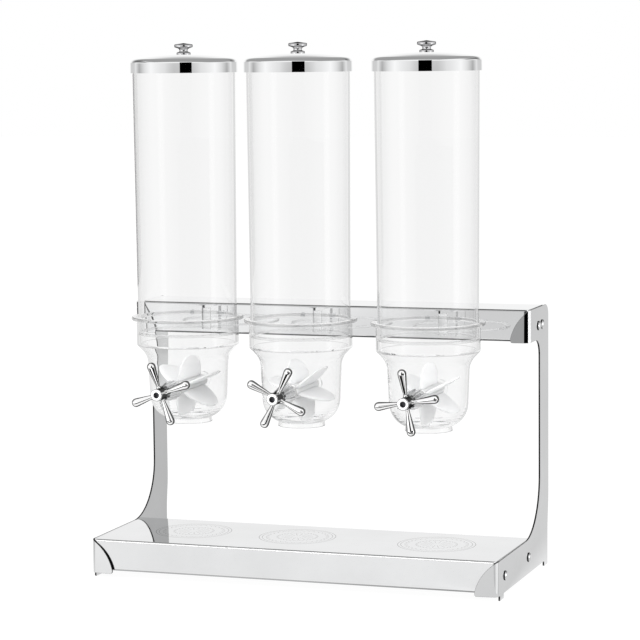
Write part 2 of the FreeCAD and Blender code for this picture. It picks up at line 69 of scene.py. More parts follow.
HANDLE_HUB = (
    (2.0, 7.0, 0), (2.0, 20.0, 0), (7.4, 20.0, 0.5), (7.4, 0, 1.2), (3.5, 0, 0.5), (3.5, 1.0, 0),
    (4.6, 1.6, 0), (4.6, 7.0, 0))
ARM = (
    (0, 5.0, 0), (2.9, 5.0, 0), (2.9, 8.2, 0.6), (2.2, 9.4, 1.0), (5.2, 33.5, 6.0), (5.2, 39.95, 4.9),
    (0, 39.95, 0))
SLEEVE = ((4.1, 20.0, 0), (4.1, 52.3, 0), (12.1, 52.3, 0.8), (11.2, 36.0, 12.0), (7.3, 20.0, 0.6))


def box_middle(node):
    """Centre of a CAD node's box."""
    low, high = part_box(node)
    return (low + high) / 2


def upright_axis(node):
    """Where the upright axis of a round CAD node meets the floor."""
    middle = box_middle(node)
    return Vector((middle.x, middle.y, 0))


def canister_foot(side):
    """Point on a canister's axis, level with the lower edge of its neck."""
    foot = upright_axis("canister_tube_" + side)
    foot.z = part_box("hopper_" + side)[0].z
    return foot


def axle_front(side):
    """Point where the axle's line meets the front of the cross handle."""
    middle = box_middle("handle_screw_" + side)
    return Vector((middle.x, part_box("cross_handle_" + side)[0].y, middle.z))


def size_in_mm(name, description, size):
    """Length property with a default in mm."""
    return FloatProperty(name=name, description=description, default=size * MM, unit="LENGTH")


def finish_colour(name, description, shade):
    """Colour property."""
    return FloatVectorProperty(name=name, description=description, default=shade, size=3, subtype="COLOR")


class DispenserSizes(bpy.types.PropertyGroup):
    """Sizes that a user may want to change; the rest follows the CAD frame"""

    wall: size_in_mm("Hopper wall", "Thickness of the hopper's wall", 2.0)
    tube_wall: size_in_mm("Tube wall", "Thickness of the canister tube", 2.4)
    tube_draft: size_in_mm("Tube draft", "How much narrower the tube's foot is", 2.1)
    cap_skin: size_in_mm("Cap skin", "Thickness of the lid's metal", 0.9)
    blade_thick: size_in_mm("Blade thickness", "Thickness of a paddle blade", 4.4)
    blade_reach: size_in_mm("Blade reach", "From the axle's line to a blade's tip", 42.3)
    blade_half: size_in_mm("Blade half length", "Half of a blade's length along the axle", 37.0)
    blade_corner: size_in_mm("Blade corner", "Radius of a blade's rounded corners", 33.0)
    flute_depth: size_in_mm("Flute depth", "Depth of the sleeve's flutes", 1.5)
    round_steps: IntProperty(name="Round steps", description="Sides of a full turn on the large rounds",
                             default=160, min=24)
    blades: IntProperty(name="Blades", description="Blades on a paddle wheel", default=6, min=3)
    arms: IntProperty(name="Arms", description="Arms of a cross handle", default=4, min=2)
    flutes: IntProperty(name="Flutes", description="Flutes round a sleeve", default=10, min=3)


class DispenserFinishes(bpy.types.PropertyGroup):
    """Colours of the finishes"""

    steel: finish_colour("Polished steel", "Colour of the stand's sheet", (0.85, 0.855, 0.86))
    lid: finish_colour("Drawn chrome", "Colour of the lids", (0.9, 0.905, 0.91))
    chrome: finish_colour("Bright chrome", "Colour of the handles", (0.97, 0.97, 0.97))
    knob: finish_colour("Turned knobs", "Colour of the lids' knobs", (0.72, 0.72, 0.73))
    silver: finish_colour("Silver plating", "Colour of the fluted sleeves", (0.76, 0.765, 0.77))
    clear: finish_colour("Clear plastic", "Tint of the tubes", (1.0, 1.0, 1.0))
    hopper: finish_colour("Hopper plastic", "Tint of the hoppers", (0.995, 0.996, 0.996))
    silicone: finish_colour("Silicone", "Colour of the paddle wheels", (0.95, 0.955, 0.96))


# Outlines and meshes

def rounded(corners, steps=5):
    """Points of a closed outline of (u, v, radius) corners, each corner rounded by an arc."""
    count = len(corners)
    points = []
    for index in range(count):
        u, v, radius = corners[index]
        here = Vector((u, v))
        if radius <= 0:
            points.append(here)
            continue
        back = (Vector(corners[index - 1][:2]) - here).normalized()
        ahead = (Vector(corners[(index + 1) % count][:2]) - here).normalized()
        half = back.angle(ahead) / 2
        centre = here + (back + ahead).normalized() * (radius / math.sin(half))
        start = here + back * (radius / math.tan(half)) - centre
        end = here + ahead * (radius / math.tan(half)) - centre
        sweep = start.angle_signed(end)
        for step in range(steps + 1):
            turned = start.copy()
            turned.rotate(Matrix.Rotation(-sweep * step / steps, 2))
            points.append(centre + turned)
    return points


def guarded(points, gap=0.3 * MM):
    """The same outline with a point close to both ends of each long run, so that flats stay flat."""
    outline = []
    for here, ahead in zip(points, points[1:] + points[:1]):
        outline.append(here)
        span = ahead - here
        if span.length > 4 * gap:
            outline += [here + span.normalized() * gap, ahead - span.normalized() * gap]
    return outline


def finished_mesh(bm, name):
    """Mesh of a bmesh, which is freed."""
    mesh = bpy.data.meshes.new(name)
    bm.to_mesh(mesh)
    bm.free()
    return mesh


def mesh_from(bm, name):
    """Mesh of a closed bmesh, with its doubles merged and its faces outward."""
    bmesh.ops.remove_doubles(bm, verts=bm.verts, dist=1e-6)
    bmesh.ops.recalc_face_normals(bm, faces=bm.faces)
    return finished_mesh(bm, name)


def turned_shape(name, outline, centre, along, steps):
    """Surface of revolution of (radius, distance) points about an axis, upright or along +Y."""
    bm = bmesh.new()
    rings = []
    for radius, distance in guarded([Vector(point) for point in outline]):
        turns = [2 * math.pi * k / steps for k in range(steps)] if radius > 1e-7 else [0.0]
        ring = []
        for turn in turns:
            across = (radius * math.cos(turn), radius * math.sin(turn))
            place = Vector((*across, distance)) if along == "Z" else Vector((across[0], distance, across[1]))
            ring.append(bm.verts.new(centre + place))
        rings.append(ring)
    for index, ring in enumerate(rings):
        following = rings[(index + 1) % len(rings)]
        if len(ring) == 1 and len(following) == 1:
            continue
        for k in range(steps):
            quad = [ring[k % len(ring)], ring[(k + 1) % len(ring)],
                    following[(k + 1) % len(following)], following[k % len(following)]]
            bm.faces.new(list(dict.fromkeys(quad)))
    return mesh_from(bm, name)


def turned_mm(name, corners, centre, along, steps, fine=5):
    """Surface of revolution of rounded corners in mm."""
    outline = rounded([(u * MM, v * MM, soft * MM) for u, v, soft in corners], fine)
    return turned_shape(name, outline, centre, along, steps)


def box_mesh(name, low, high, soft):
    """Box between two corners with softened edges."""
    bm = bmesh.new()
    bmesh.ops.create_cube(bm, size=1)
    for vert in bm.verts:
        vert.co = Vector([(low[i] + high[i]) / 2 + vert.co[i] * (high[i] - low[i]) for i in range(3)])
    bmesh.ops.bevel(bm, geom=bm.edges, offset=soft, segments=2, affect="EDGES", profile=0.5)
    return mesh_from(bm, name)


def joined(name, meshes):
    """One mesh of several."""
    bm = bmesh.new()
    for mesh in meshes:
        bm.from_mesh(mesh)
        bpy.data.meshes.remove(mesh)
    return finished_mesh(bm, name)


def piece(name, mesh, body, slot, finish, *nodes):
    """Object of a finished mesh that rides on a body and stands for CAD nodes."""
    mesh.shade_smooth()
    mesh.set_sharp_from_angle(angle=math.radians(35.0))
    mesh.materials.clear()
    mesh.materials.append(materials[finish])
    thing = bpy.data.objects.new(name, mesh)
    bpy.context.scene.collection.objects.link(thing)
    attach(thing, body)
    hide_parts(*nodes)
    return thing


def unmirrored(thing):
    """Keep a piece out of the reflections in its neighbours."""
    thing.visible_glossy = False


def give(node, finish):
    """Put a finish on a CAD node that keeps its shape."""
    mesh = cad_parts[node].data
    mesh.materials.clear()
    mesh.materials.append(materials[finish])


# Bent sheet. Lengths in this part are in mm: depth behind the plates' front, height over their lower edge

SHEET, FOOT_TAB = 2.0, 6.0
BEND, BEND_MIDDLE = 7.0, 6.0
BEND_RUN = math.pi / 2 * BEND_MIDDLE
BASE_FOLD, HEAD_FOLD = 7.0, 158.0
BASE_TURN, HEAD_TURN = math.radians(84), math.radians(85)
BASE_FLAP, HEAD_FLAP = 28.5, 24.0
BASE_TOP, HEAD_LOW, HEAD_TOP = 42.0, 283.5, 323.5
FLAP_ARC, FLAP_STEPS, FLAP_FOOT = 57.0, 28, 5.0
HALF_WAY = 200.0
EDGE_BREAK, FOLD_MARGIN, UPRIGHT_FACE = 0.25, 0.6, 0.12
# Where the painted highlight along a head flap's fold begins and ends, how strong it is, and how strong the
# painted dark band on the head bend is, which stands in for a dark reflection
HIGHLIGHT_START, HIGHLIGHT_END, HIGHLIGHT_MARK, PAINTED_BAND_MARK = 0.4, 4.2, 0.7, 0.92


def unrolled(fold, across):
    """Place on the flat blank of a point this far across the bend and flap."""
    if across < BEND:
        return fold - BEND_MIDDLE * math.acos((BEND - across) / BEND)
    return fold - BEND_RUN - (across - BEND)


def flap_edge(fold, width, low, high):
    """Free edge of a flap on the flat blank, one long arc from its top corner to its foot."""
    outer, inner = Vector((0.0, high)), Vector((width, low + FLAP_FOOT))
    chord = inner - outer
    bulge = Vector((-chord.y, chord.x)).normalized()
    centre = (outer + inner) / 2 - bulge * math.sqrt(FLAP_ARC ** 2 - (chord.length / 2) ** 2)
    edge = []
    for step in range(FLAP_STEPS + 1):
        spoke = (outer - centre).lerp(inner - centre, step / FLAP_STEPS).normalized() * FLAP_ARC
        spot = centre + spoke
        edge.append((unrolled(fold, max(spot.x, 0.0)), spot.y, 0))
    return edge


def plate_blank():
    """Outline of a side plate's flat blank: base, upright, head, foot tabs and flaps."""
    base_flap = flap_edge(BASE_FOLD, BASE_FLAP, 0.0, BASE_TOP)
    head_flap = flap_edge(HEAD_FOLD, HEAD_FLAP, HEAD_LOW, HEAD_TOP)
    return rounded([
        (9.0, 0, 0.5), (9.0, -FOOT_TAB, 1.5), (27.0, -FOOT_TAB, 1.5), (27.0, 0, 1.5), (224.0, 0, 1.5),
        (224.0, -FOOT_TAB, 1.5), (242.0, -FOOT_TAB, 1.5), (242.0, 45.0, 150.0), (247.0, 78.0, 150.0),
        (247.0, HEAD_TOP, 14.0), *head_flap, (unrolled(HEAD_FOLD, HEAD_FLAP), HEAD_LOW, 3.0),
        (204.0, HEAD_LOW, 20.0), (204.0, BASE_TOP, 70.0), *base_flap,
        (unrolled(BASE_FOLD, BASE_FLAP), 0, 3.0)], 14)


def bent(spot):
    """Bend a point (along, under the face, height) of the flat blank, for the right side."""
    along, under, height = spot
    fold, full = (HEAD_FOLD, HEAD_TURN) if height > HALF_WAY else (BASE_FOLD, BASE_TURN)
    if along > fold:
        return Vector((-under, along, height))
    turn = min((fold - along) / BEND_MIDDLE, full)
    radius = BEND - under
    past = max(fold - along - BEND_MIDDLE * full, 0.0)
    x = radius * math.cos(turn) - BEND - past * math.sin(turn)
    return Vector((x, fold - radius * math.sin(turn) - past * math.cos(turn), height))


def side_plate(side):
    """Side plate with its flaps bent round, painted dark shade on its edges and on the flaps' backs, a
    painted dark band on the head bend and a painted highlight along the head flap's fold.
    """
    bm = bmesh.new()
    face = bm.faces.new([bm.verts.new((p.x, 0.0, p.y)) for p in plate_blank()])
    bmesh.ops.extrude_face_region(bm, geom=[face])
    for vert in face.verts:
        vert.co.y = SHEET
    bmesh.ops.recalc_face_normals(bm, faces=bm.faces)
    rims = [edge for edge in bm.edges if edge.calc_face_angle(0.0) > 1.0 and
            abs(edge.verts[0].co.y - edge.verts[1].co.y) < 0.1]
    bmesh.ops.bevel(bm, geom=rims, offset=EDGE_BREAK, segments=1, affect="EDGES")
    for fold, full in ((BASE_FOLD, BASE_TURN), (HEAD_FOLD, HEAD_TURN)):
        run = BEND_MIDDLE * full
        bend = [fold - run * k / 10 for k in range(11)]
        for cut in (fold + FOLD_MARGIN, *bend, fold - run - FOLD_MARGIN):
            geom = bm.verts[:] + bm.edges[:] + bm.faces[:]
            bmesh.ops.bisect_plane(bm, geom=geom, plane_co=(cut, 0, 0), plane_no=(1, 0, 0))
    # Face marks of painted light: the first carries painted dark shade, the second a painted highlight
    painted_shade_mark, painted_highlight_mark = bm.faces.layers.float.new("cut"), bm.faces.layers.float.new("painted_highlight")
    for face in bm.faces:
        middle = face.calc_center_median()
        head = middle.z > HALF_WAY
        fold = HEAD_FOLD if head else BASE_FOLD
        # The flaps' backs face the tray and are painted dark as a painted shadow of the gap; the band is a
        # painted dark reflection on the head bend
        back = face.normal.y > 0.9 and middle.x < fold - BEND_RUN
        band = head and fold - BEND_RUN + HIGHLIGHT_START < middle.x < fold - HIGHLIGHT_END
        painted_highlight = head and fold - HIGHLIGHT_END < middle.x < fold - HIGHLIGHT_START
        # Painted dark shade on edges, chamfers and flap backs, a weaker painted dark band on the head bend,
        # and a painted highlight near the head fold
        face[painted_shade_mark] = 1.0 if abs(face.normal.y) < 0.9 or back else PAINTED_BAND_MARK if band else 0.0
        face[painted_highlight_mark] = HIGHLIGHT_MARK if painted_highlight else 0.0
    low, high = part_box("side_plate_right")
    hand = 1 if side == "right" else -1
    for vert in bm.verts:
        x, depth, height = bent(vert.co)
        vert.co = (hand * (high.x + x * MM), low.y + depth * MM, low.z + (height + FOOT_TAB) * MM)
    return mesh_from(bm, "side plate")


def pan(node, low_fold_shade, top_fold_shade, painted_fold_highlight):
    """Folded sheet pan that fills a CAD node's box: open below, with lips, end walls, and painted shade and a
    painted highlight on its front folds.
    """
    low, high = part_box(node)
    skin, lip, nest, fold, crease = 1.5 * MM, 10.0 * MM, 5.0 * MM, 2.2 * MM, 0.7 * MM
    front, rear, end = low.y, high.y, high.x
    section = guarded(rounded([
        (front, low.z, fold), (front, high.z, fold), (rear, high.z, fold), (rear, low.z, fold),
        (rear - lip, low.z, 0), (rear - lip, low.z + skin, 0), (rear - skin, low.z + skin, crease),
        (rear - skin, high.z - skin, crease), (front + skin, high.z - skin, crease),
        (front + skin, low.z + skin, crease), (front + lip, low.z + skin, 0), (front + lip, low.z, 0)], 6))
    turned = [end - nest + nest * math.sin(math.radians(15 * k)) for k in range(7)]
    stations = [end - nest - 0.5 * MM, *turned]
    bm = bmesh.new()
    rows = []
    for x in [-x for x in reversed(stations)] + stations:
        row = []
        for spot in section:
            inner = low.z + 0.5 * skin < spot.y < high.z - 0.5 * skin and front + 0.5 * skin < spot.x
            reach = nest - skin if inner else nest
            over = min(max(abs(x) - (end - nest), 0.0), reach)
            limit = front + nest - math.sqrt(max(reach ** 2 - over ** 2, 0.0))
            row.append(bm.verts.new((x, max(spot.x, limit), spot.y)))
        rows.append(row)
    count = len(section)
    for near, far in zip(rows, rows[1:]):
        for k in range(count):
            bm.faces.new([near[k], near[(k + 1) % count], far[(k + 1) % count], far[k]])
    bm.faces.new(rows[0])
    bm.faces.new(list(reversed(rows[-1])))
    bmesh.ops.recalc_face_normals(bm, faces=bm.faces)
    # Painted light on the front folds: painted dark shade on the upper and lower fold, and a painted
    # highlight or lighter painted shade on the faces between them
    painted_shade_mark, painted_highlight_mark = bm.faces.layers.float.new("cut"), bm.faces.layers.float.new("painted_highlight")
    for face in bm.faces:
        middle, normal = face.calc_center_median(), face.normal
        if middle.y > front + fold + 0.1 * MM or abs(normal.z) < UPRIGHT_FACE:
            continue
        if normal.z > 0.5:
            face[painted_shade_mark] = top_fold_shade
        elif normal.z > 0.0:
            face[painted_highlight_mark] = painted_fold_highlight
            face[painted_shade_mark] = 0.0 if painted_fold_highlight else 0.5 * top_fold_shade
        else:
            face[painted_shade_mark] = low_fold_shade
    walls = [mesh_from(bm, "pan")]
    for hand in (-1, 1):
        near, far = sorted((hand * end, hand * (end - skin)))
        walls.append(box_mesh("end", (near, front + nest, low.z + fold),
                              (far, rear - 0.5 * MM, high.z - 0.2 * MM), 0.1 * MM))
    return joined("pan", walls)


# Node trees

def node(tree, kind, values=(), **settings):
    """New node with its settings made and its inputs linked or set, in order."""
    made = tree.nodes.new(kind)
    for key, value in settings.items():
        setattr(made, key, value)
    sockets = [socket for socket in made.inputs if socket.enabled]
    for socket, value in zip(sockets, values):
        if value is None:
            continue
        if isinstance(value, bpy.types.NodeSocket):
            tree.links.new(value, socket)
        else:
            socket.default_value = value
    return made


def plain(shader, **values):
    """Set sockets of a node by name."""
    for label, value in values.items():
        shader.inputs[label.replace("_", " ")].default_value = value


def maths(tree, operation, *values):
    """Result of a Math node."""
    return node(tree, "ShaderNodeMath", values, operation=operation).outputs[0]


def vectors(tree, operation, *values):
    """Result of a Vector Math node."""
    made = node(tree, "ShaderNodeVectorMath", values, operation=operation)
    return made.outputs["Value" if operation in ("LENGTH", "DOT_PRODUCT") else "Vector"]


def scaled(tree, vector, factor):
    """A vector times a linked value."""
    made = node(tree, "ShaderNodeVectorMath", (vector,), operation="SCALE")
    tree.links.new(factor, made.inputs["Scale"])
    return made.outputs["Vector"]


def mapped(tree, value, *limits, **settings):
    """A value taken from one range, the first two limits, to another, the last two."""
    return node(tree, "ShaderNodeMapRange", (value, *limits), **settings).outputs[0]


def mixed(tree, factor, first, second, kind="FLOAT"):
    """Mix of two values, or of two colours."""
    made = node(tree, "ShaderNodeMix", (factor, first, second), data_type=kind)
    return made.outputs[2 if kind == "RGBA" else 0]


def object_place(tree):
    """Coordinates on the piece."""
    return node(tree, "ShaderNodeTexCoord").outputs["Object"]


def mark(tree, name):
    """How strongly a piece's faces are marked by name."""
    return node(tree, "ShaderNodeAttribute", attribute_name=name).outputs["Fac"]


def noise(tree, place, **values):
    """Noise pattern, from 0 to 1."""
    made = node(tree, "ShaderNodeTexNoise", (place,))
    plain(made, **values)
    return made.outputs["Fac"]


def new_tree(name, kind, inputs, outputs):
    """Node tree with named inputs and outputs, and the sockets at both its ends."""
    tree = bpy.data.node_groups.new(name, kind)
    for side, sockets in (("INPUT", inputs), ("OUTPUT", outputs)):
        for label, sort in sockets:
            tree.interface.new_socket(label, in_out=side, socket_type="NodeSocket" + sort)
    return tree, tree.nodes.new("NodeGroupInput").outputs, tree.nodes.new("NodeGroupOutput").inputs


# Geometry Nodes

def shape_tree(name, *inputs):
    """Geometry node tree with the named inputs, and the sockets at both its ends."""
    return new_tree(name, "GeometryNodeTree", (("Geometry", "Geometry"), *inputs, ("Material", "Material")),
                    (("Geometry", "Geometry"),))


def finish_tree(tree, geometry, given, end):
    """End a tree in Realize Instances and Set Material."""
    real = node(tree, "GeometryNodeRealizeInstances", (geometry,))
    dressed = node(tree, "GeometryNodeSetMaterial", (real.outputs[0], None, given["Material"]))
    tree.links.new(dressed.outputs[0], end["Geometry"])
    return tree


def copies_tree():
    """Tree that sets copies of a shape round an axle along Y."""
    tree, given, end = shape_tree("Copies round the axle", ("Count", "Int"), ("First angle", "Float"),
                                  ("Centre", "Vector"))
    index = node(tree, "GeometryNodeInputIndex").outputs[0]
    turn = maths(tree, "MULTIPLY", maths(tree, "DIVIDE", index, given["Count"]), -2 * math.pi)
    spin = node(tree, "ShaderNodeCombineXYZ", (0.0, maths(tree, "SUBTRACT", turn, given["First angle"]), 0.0))
    points = node(tree, "GeometryNodePoints", (given["Count"], given["Centre"]))
    copies = node(tree, "GeometryNodeInstanceOnPoints", (points.outputs[0], None, given["Geometry"]))
    tree.links.new(spin.outputs[0], copies.inputs["Rotation"])
    return finish_tree(tree, copies.outputs[0], given, end)


def flutes_tree():
    """Tree that presses flutes into a round shape about an axle along Y."""
    tree, given, end = shape_tree("Flutes", ("Count", "Int"), ("Depth", "Float"), ("First angle", "Float"),
                                  ("Centre", "Vector"))
    position = node(tree, "GeometryNodeInputPosition").outputs[0]
    flat = vectors(tree, "MULTIPLY", vectors(tree, "SUBTRACT", position, given["Centre"]), (1, 0, 1))
    parts = node(tree, "ShaderNodeSeparateXYZ", (flat,)).outputs
    angle = maths(tree, "SUBTRACT", maths(tree, "ARCTAN2", parts[2], parts[0]), given["First angle"])
    wave = maths(tree, "COSINE", maths(tree, "MULTIPLY", angle, given["Count"]))
    valley = mapped(tree, wave, -0.2, 1.0, 0.0, 1.0, interpolation_type="SMOOTHSTEP")
    inward = maths(tree, "MULTIPLY", maths(tree, "MULTIPLY", valley, given["Depth"]), -1.0)
    moved = node(tree, "GeometryNodeSetPosition", (given["Geometry"],))
    tree.links.new(scaled(tree, vectors(tree, "NORMALIZE", flat), inward), moved.inputs["Offset"])
    return finish_tree(tree, moved.outputs[0], given, end)


def rows_tree():
    """Tree that sets a row of copies along +Y on the right side, and the same row turned to the left."""
    tree, given, end = shape_tree("Rows on both sides", ("Count", "Int"), ("First", "Vector"),
                                  ("Pitch", "Float"))
    pitch = node(tree, "ShaderNodeCombineXYZ", (0.0, given["Pitch"], 0.0)).outputs[0]
    row = (given["Count"], given["First"], pitch)
    line = node(tree, "GeometryNodeMeshLine", row, mode="OFFSET").outputs[0]
    position = node(tree, "GeometryNodeInputPosition").outputs[0]
    mirror = vectors(tree, "MULTIPLY", position, (-1, 1, 1))
    over = node(tree, "GeometryNodeSetPosition", (line, None, mirror)).outputs[0]
    both = node(tree, "GeometryNodeJoinGeometry")
    for spots, turn in ((line, 0.0), (over, math.pi)):
        copies = node(tree, "GeometryNodeInstanceOnPoints", (spots, None, given["Geometry"]))
        copies.inputs["Rotation"].default_value = (0, 0, turn)
        tree.links.new(copies.outputs[0], both.inputs[0])
    return finish_tree(tree, both.outputs[0], given, end)


def grown(mesh, tree, **values):
    """Mesh that a tree makes of a mesh with these input values."""
    carrier = bpy.data.objects.new("carrier", mesh)
    bpy.context.scene.collection.objects.link(carrier)
    modifier = carrier.modifiers.new("nodes", "NODES")
    modifier.node_group = tree
    for item in tree.interface.items_tree:
        if item.in_out == "INPUT" and item.name.replace(" ", "_") in values:
            modifier[item.identifier] = values[item.name.replace(" ", "_")]
    view = bpy.context.evaluated_depsgraph_get()
    result = bpy.data.meshes.new_from_object(carrier.evaluated_get(view))
    bpy.data.objects.remove(carrier)
    bpy.data.meshes.remove(mesh)
    return result


# Materials

# Painted dark shade, painted highlight, etched rosette lines, and painted grey shade on clear rims
PAINTED_SHADE_BLACK, PAINTED_HIGHLIGHT_WHITE, ETCHING, PAINTED_RIM_SHADE = [(grey, grey, grey, 1) for grey in (0.02, 0.95, 0.3, 0.6)]


def new_material(name, **values):
    """Material with the values of its Principled shader, its tree and that shader."""
    material = bpy.data.materials.new(name)
    material.use_nodes = True
    shader = material.node_tree.nodes["Principled BSDF"]
    plain(shader, **values)
    return material, material.node_tree, shader


def roughen(tree, shader, pattern, low, high):
    """Let a pattern vary a shader's roughness between two levels."""
    tree.links.new(mapped(tree, pattern, 0.3, 0.7, low, high), shader.inputs["Roughness"])


def emboss(tree, shader, pattern, strength, depth=0.02 * MM):
    """Let a pattern bend a shader's normals."""
    bump = node(tree, "ShaderNodeBump")
    plain(bump, Strength=strength, Distance=depth)
    tree.links.new(pattern, bump.inputs["Height"])
    tree.links.new(bump.outputs[0], shader.inputs["Normal"])


def polish_group():
    """Group of what handling leaves on polished metal: a soft haze and fine lines."""
    tree, given, end = new_tree(
        "Polish", "ShaderNodeTree", (("Roughness", "Float"), ("Haze", "Float"), ("Grain", "Vector")),
        (("Roughness", "Float"), ("Height", "Float")))
    place = object_place(tree)
    cloud = mapped(tree, noise(tree, place, Scale=14.0, Detail=3.0), 0.4, 0.75, 0.0, 1.0)
    haze = maths(tree, "MULTIPLY", cloud, given["Haze"])
    tree.links.new(maths(tree, "ADD", haze, given["Roughness"]), end["Roughness"])
    stretched = vectors(tree, "MULTIPLY", place, given["Grain"])
    tree.links.new(noise(tree, stretched, Scale=1.0, Detail=4.0), end["Height"])
    return tree


PETALS, RAY_EDGE, RAY_START, RAY_END = 16.0, 0.93, 0.12, 0.42
# Share of the rosette's radius, how far petals swing out from there, and half the line's width
ETCHED_LINES = ((1.0, 0.0, 0.011), (0.92, 0.0, 0.009), (0.74, 0.08, 0.011), (0.48, 0.06, 0.011))


def ring_group():
    """Group of the etched rosette under an outlet: two fine rings, two rows of petals and short rays."""
    tree, given, end = new_tree("Etched ring", "ShaderNodeTree", (("Centre", "Vector"), ("Radius", "Float")),
                                (("Mask", "Float"),))
    away = vectors(tree, "SUBTRACT", object_place(tree), given["Centre"])
    parts = node(tree, "ShaderNodeSeparateXYZ", (away,)).outputs
    reach = vectors(tree, "LENGTH", vectors(tree, "MULTIPLY", away, (1, 1, 0)))
    share = maths(tree, "DIVIDE", reach, given["Radius"])
    angle = maths(tree, "ARCTAN2", parts[1], parts[0])
    wave = maths(tree, "COSINE", maths(tree, "MULTIPLY", angle, PETALS))
    swell = maths(tree, "ABSOLUTE", wave)
    thin = maths(tree, "GREATER_THAN", wave, RAY_EDGE)
    inside, outside = maths(tree, "LESS_THAN", share, RAY_END), maths(tree, "GREATER_THAN", share, RAY_START)
    total = maths(tree, "MULTIPLY", maths(tree, "MULTIPLY", thin, inside), outside)
    for spot, swing, width in ETCHED_LINES:
        bowed = maths(tree, "SUBTRACT", share, maths(tree, "MULTIPLY", swell, swing)) if swing else share
        off = maths(tree, "ABSOLUTE", maths(tree, "SUBTRACT", bowed, spot))
        total = maths(tree, "MAXIMUM", total, maths(tree, "LESS_THAN", off, width))
    tree.links.new(total, end["Mask"])
    return tree


def metal(name, colour, polish, roughness, haze, lines, brim=1.0, grain=(250.0, 250.0, 250.0)):
    """Polished metal with the handling marks of the polish group; brim is its tint at grazing views."""
    material, tree, shader = new_material(
        name, Base_Color=(*colour, 1), Metallic=1.0, Specular_Tint=(brim, brim, brim, 1))
    marks = node(tree, "ShaderNodeGroup", node_tree=polish)
    plain(marks, Roughness=roughness, Haze=haze, Grain=grain)
    tree.links.new(marks.outputs["Roughness"], shader.inputs["Roughness"])
    emboss(tree, shader, marks.outputs["Height"], lines)
    return material


def sheet_steel(name, colour, polish, rings=()):
    """Mirror-polished sheet: faint clouds, painted dark shade and painted highlights where the pieces mark
    them, and etched rings.
    """
    material = metal(name, colour, polish, 0.03, 0.03, 0.1, grain=(30.0, 900.0, 900.0))
    tree = material.node_tree
    shader = tree.nodes["Principled BSDF"]
    cloud = noise(tree, object_place(tree), Scale=9.0, Detail=5.0, Roughness=0.6)
    base = scaled(tree, tuple(colour), mapped(tree, cloud, 0.35, 0.65, 0.94, 1.0))
    etched = None
    for centre, radius in rings:
        ring = node(tree, "ShaderNodeGroup", node_tree=bpy.data.node_groups["Etched ring"])
        plain(ring, Centre=centre, Radius=radius)
        etched = maths(tree, "MAXIMUM", etched, ring.outputs[0]) if etched else ring.outputs[0]
    if etched:
        base = mixed(tree, maths(tree, "MULTIPLY", etched, 0.85), base, ETCHING, "RGBA")
    # Painted light: near-black painted shade where faces are marked for it, and a white, non-metallic painted
    # highlight where they are marked for one
    painted_highlight = mark(tree, "painted_highlight")
    base = mixed(tree, mark(tree, "cut"), base, PAINTED_SHADE_BLACK, "RGBA")
    base = mixed(tree, painted_highlight, base, PAINTED_HIGHLIGHT_WHITE, "RGBA")
    tree.links.new(base, shader.inputs["Base Color"])
    tree.links.new(maths(tree, "SUBTRACT", 1.0, painted_highlight), shader.inputs["Metallic"])
    return material


def clear_plastic(name, colour, index, rims=False):
    """Clear moulded plastic with faint flow lines, and with painted grey shade on the rims that the piece
    marks.
    """
    material, tree, shader = new_material(
        name, Base_Color=(*colour, 1), Roughness=0.0, IOR=index, Transmission_Weight=1.0)
    if rims:
        # Painted grey shade on the marked rims, standing in for the dark edges of clear mouldings
        tint = mixed(tree, mark(tree, "rim"), (*colour, 1), PAINTED_RIM_SHADE, "RGBA")
        tree.links.new(tint, shader.inputs["Base Color"])
    drawn = vectors(tree, "MULTIPLY", object_place(tree), (25, 25, 3))
    emboss(tree, shader, noise(tree, drawn, Scale=1.0), 0.01)
    lamp_side = node(tree, "ShaderNodeBsdfTransparent", ((1, 1, 1, 1),))
    rays = node(tree, "ShaderNodeLightPath")
    both = node(tree, "ShaderNodeMixShader", (
        rays.outputs["Is Shadow Ray"], shader.outputs[0], lamp_side.outputs[0]))
    tree.links.new(both.outputs[0], tree.nodes["Material Output"].inputs["Surface"])
    return material


def silicone(name, colour):
    """Frosted soft rubber in which light spreads."""
    material, tree, shader = new_material(
        name, Base_Color=(*colour, 1), IOR=1.41, Subsurface_Weight=0.7, Subsurface_Radius=(1, 1, 1),
        Subsurface_Scale=8.0 * MM)
    frost = noise(tree, object_place(tree), Scale=900.0)
    roughen(tree, shader, frost, 0.38, 0.5)
    emboss(tree, shader, frost, 0.2, 0.05 * MM)
    return material


def moulded(name, colour, roughness, through=0.0):
    """Plain moulded plastic or soft seal with a fine texture."""
    material, tree, shader = new_material(name, Base_Color=(*colour, 1), IOR=1.5, Transmission_Weight=through)
    roughen(tree, shader, noise(tree, object_place(tree), Scale=700.0), roughness, roughness + 0.1)
    return material


ROSETTES = [((x, -0.024, 0.048), 0.0475) for x in (-0.1575, -0.0195, 0.16)]
materials = {}


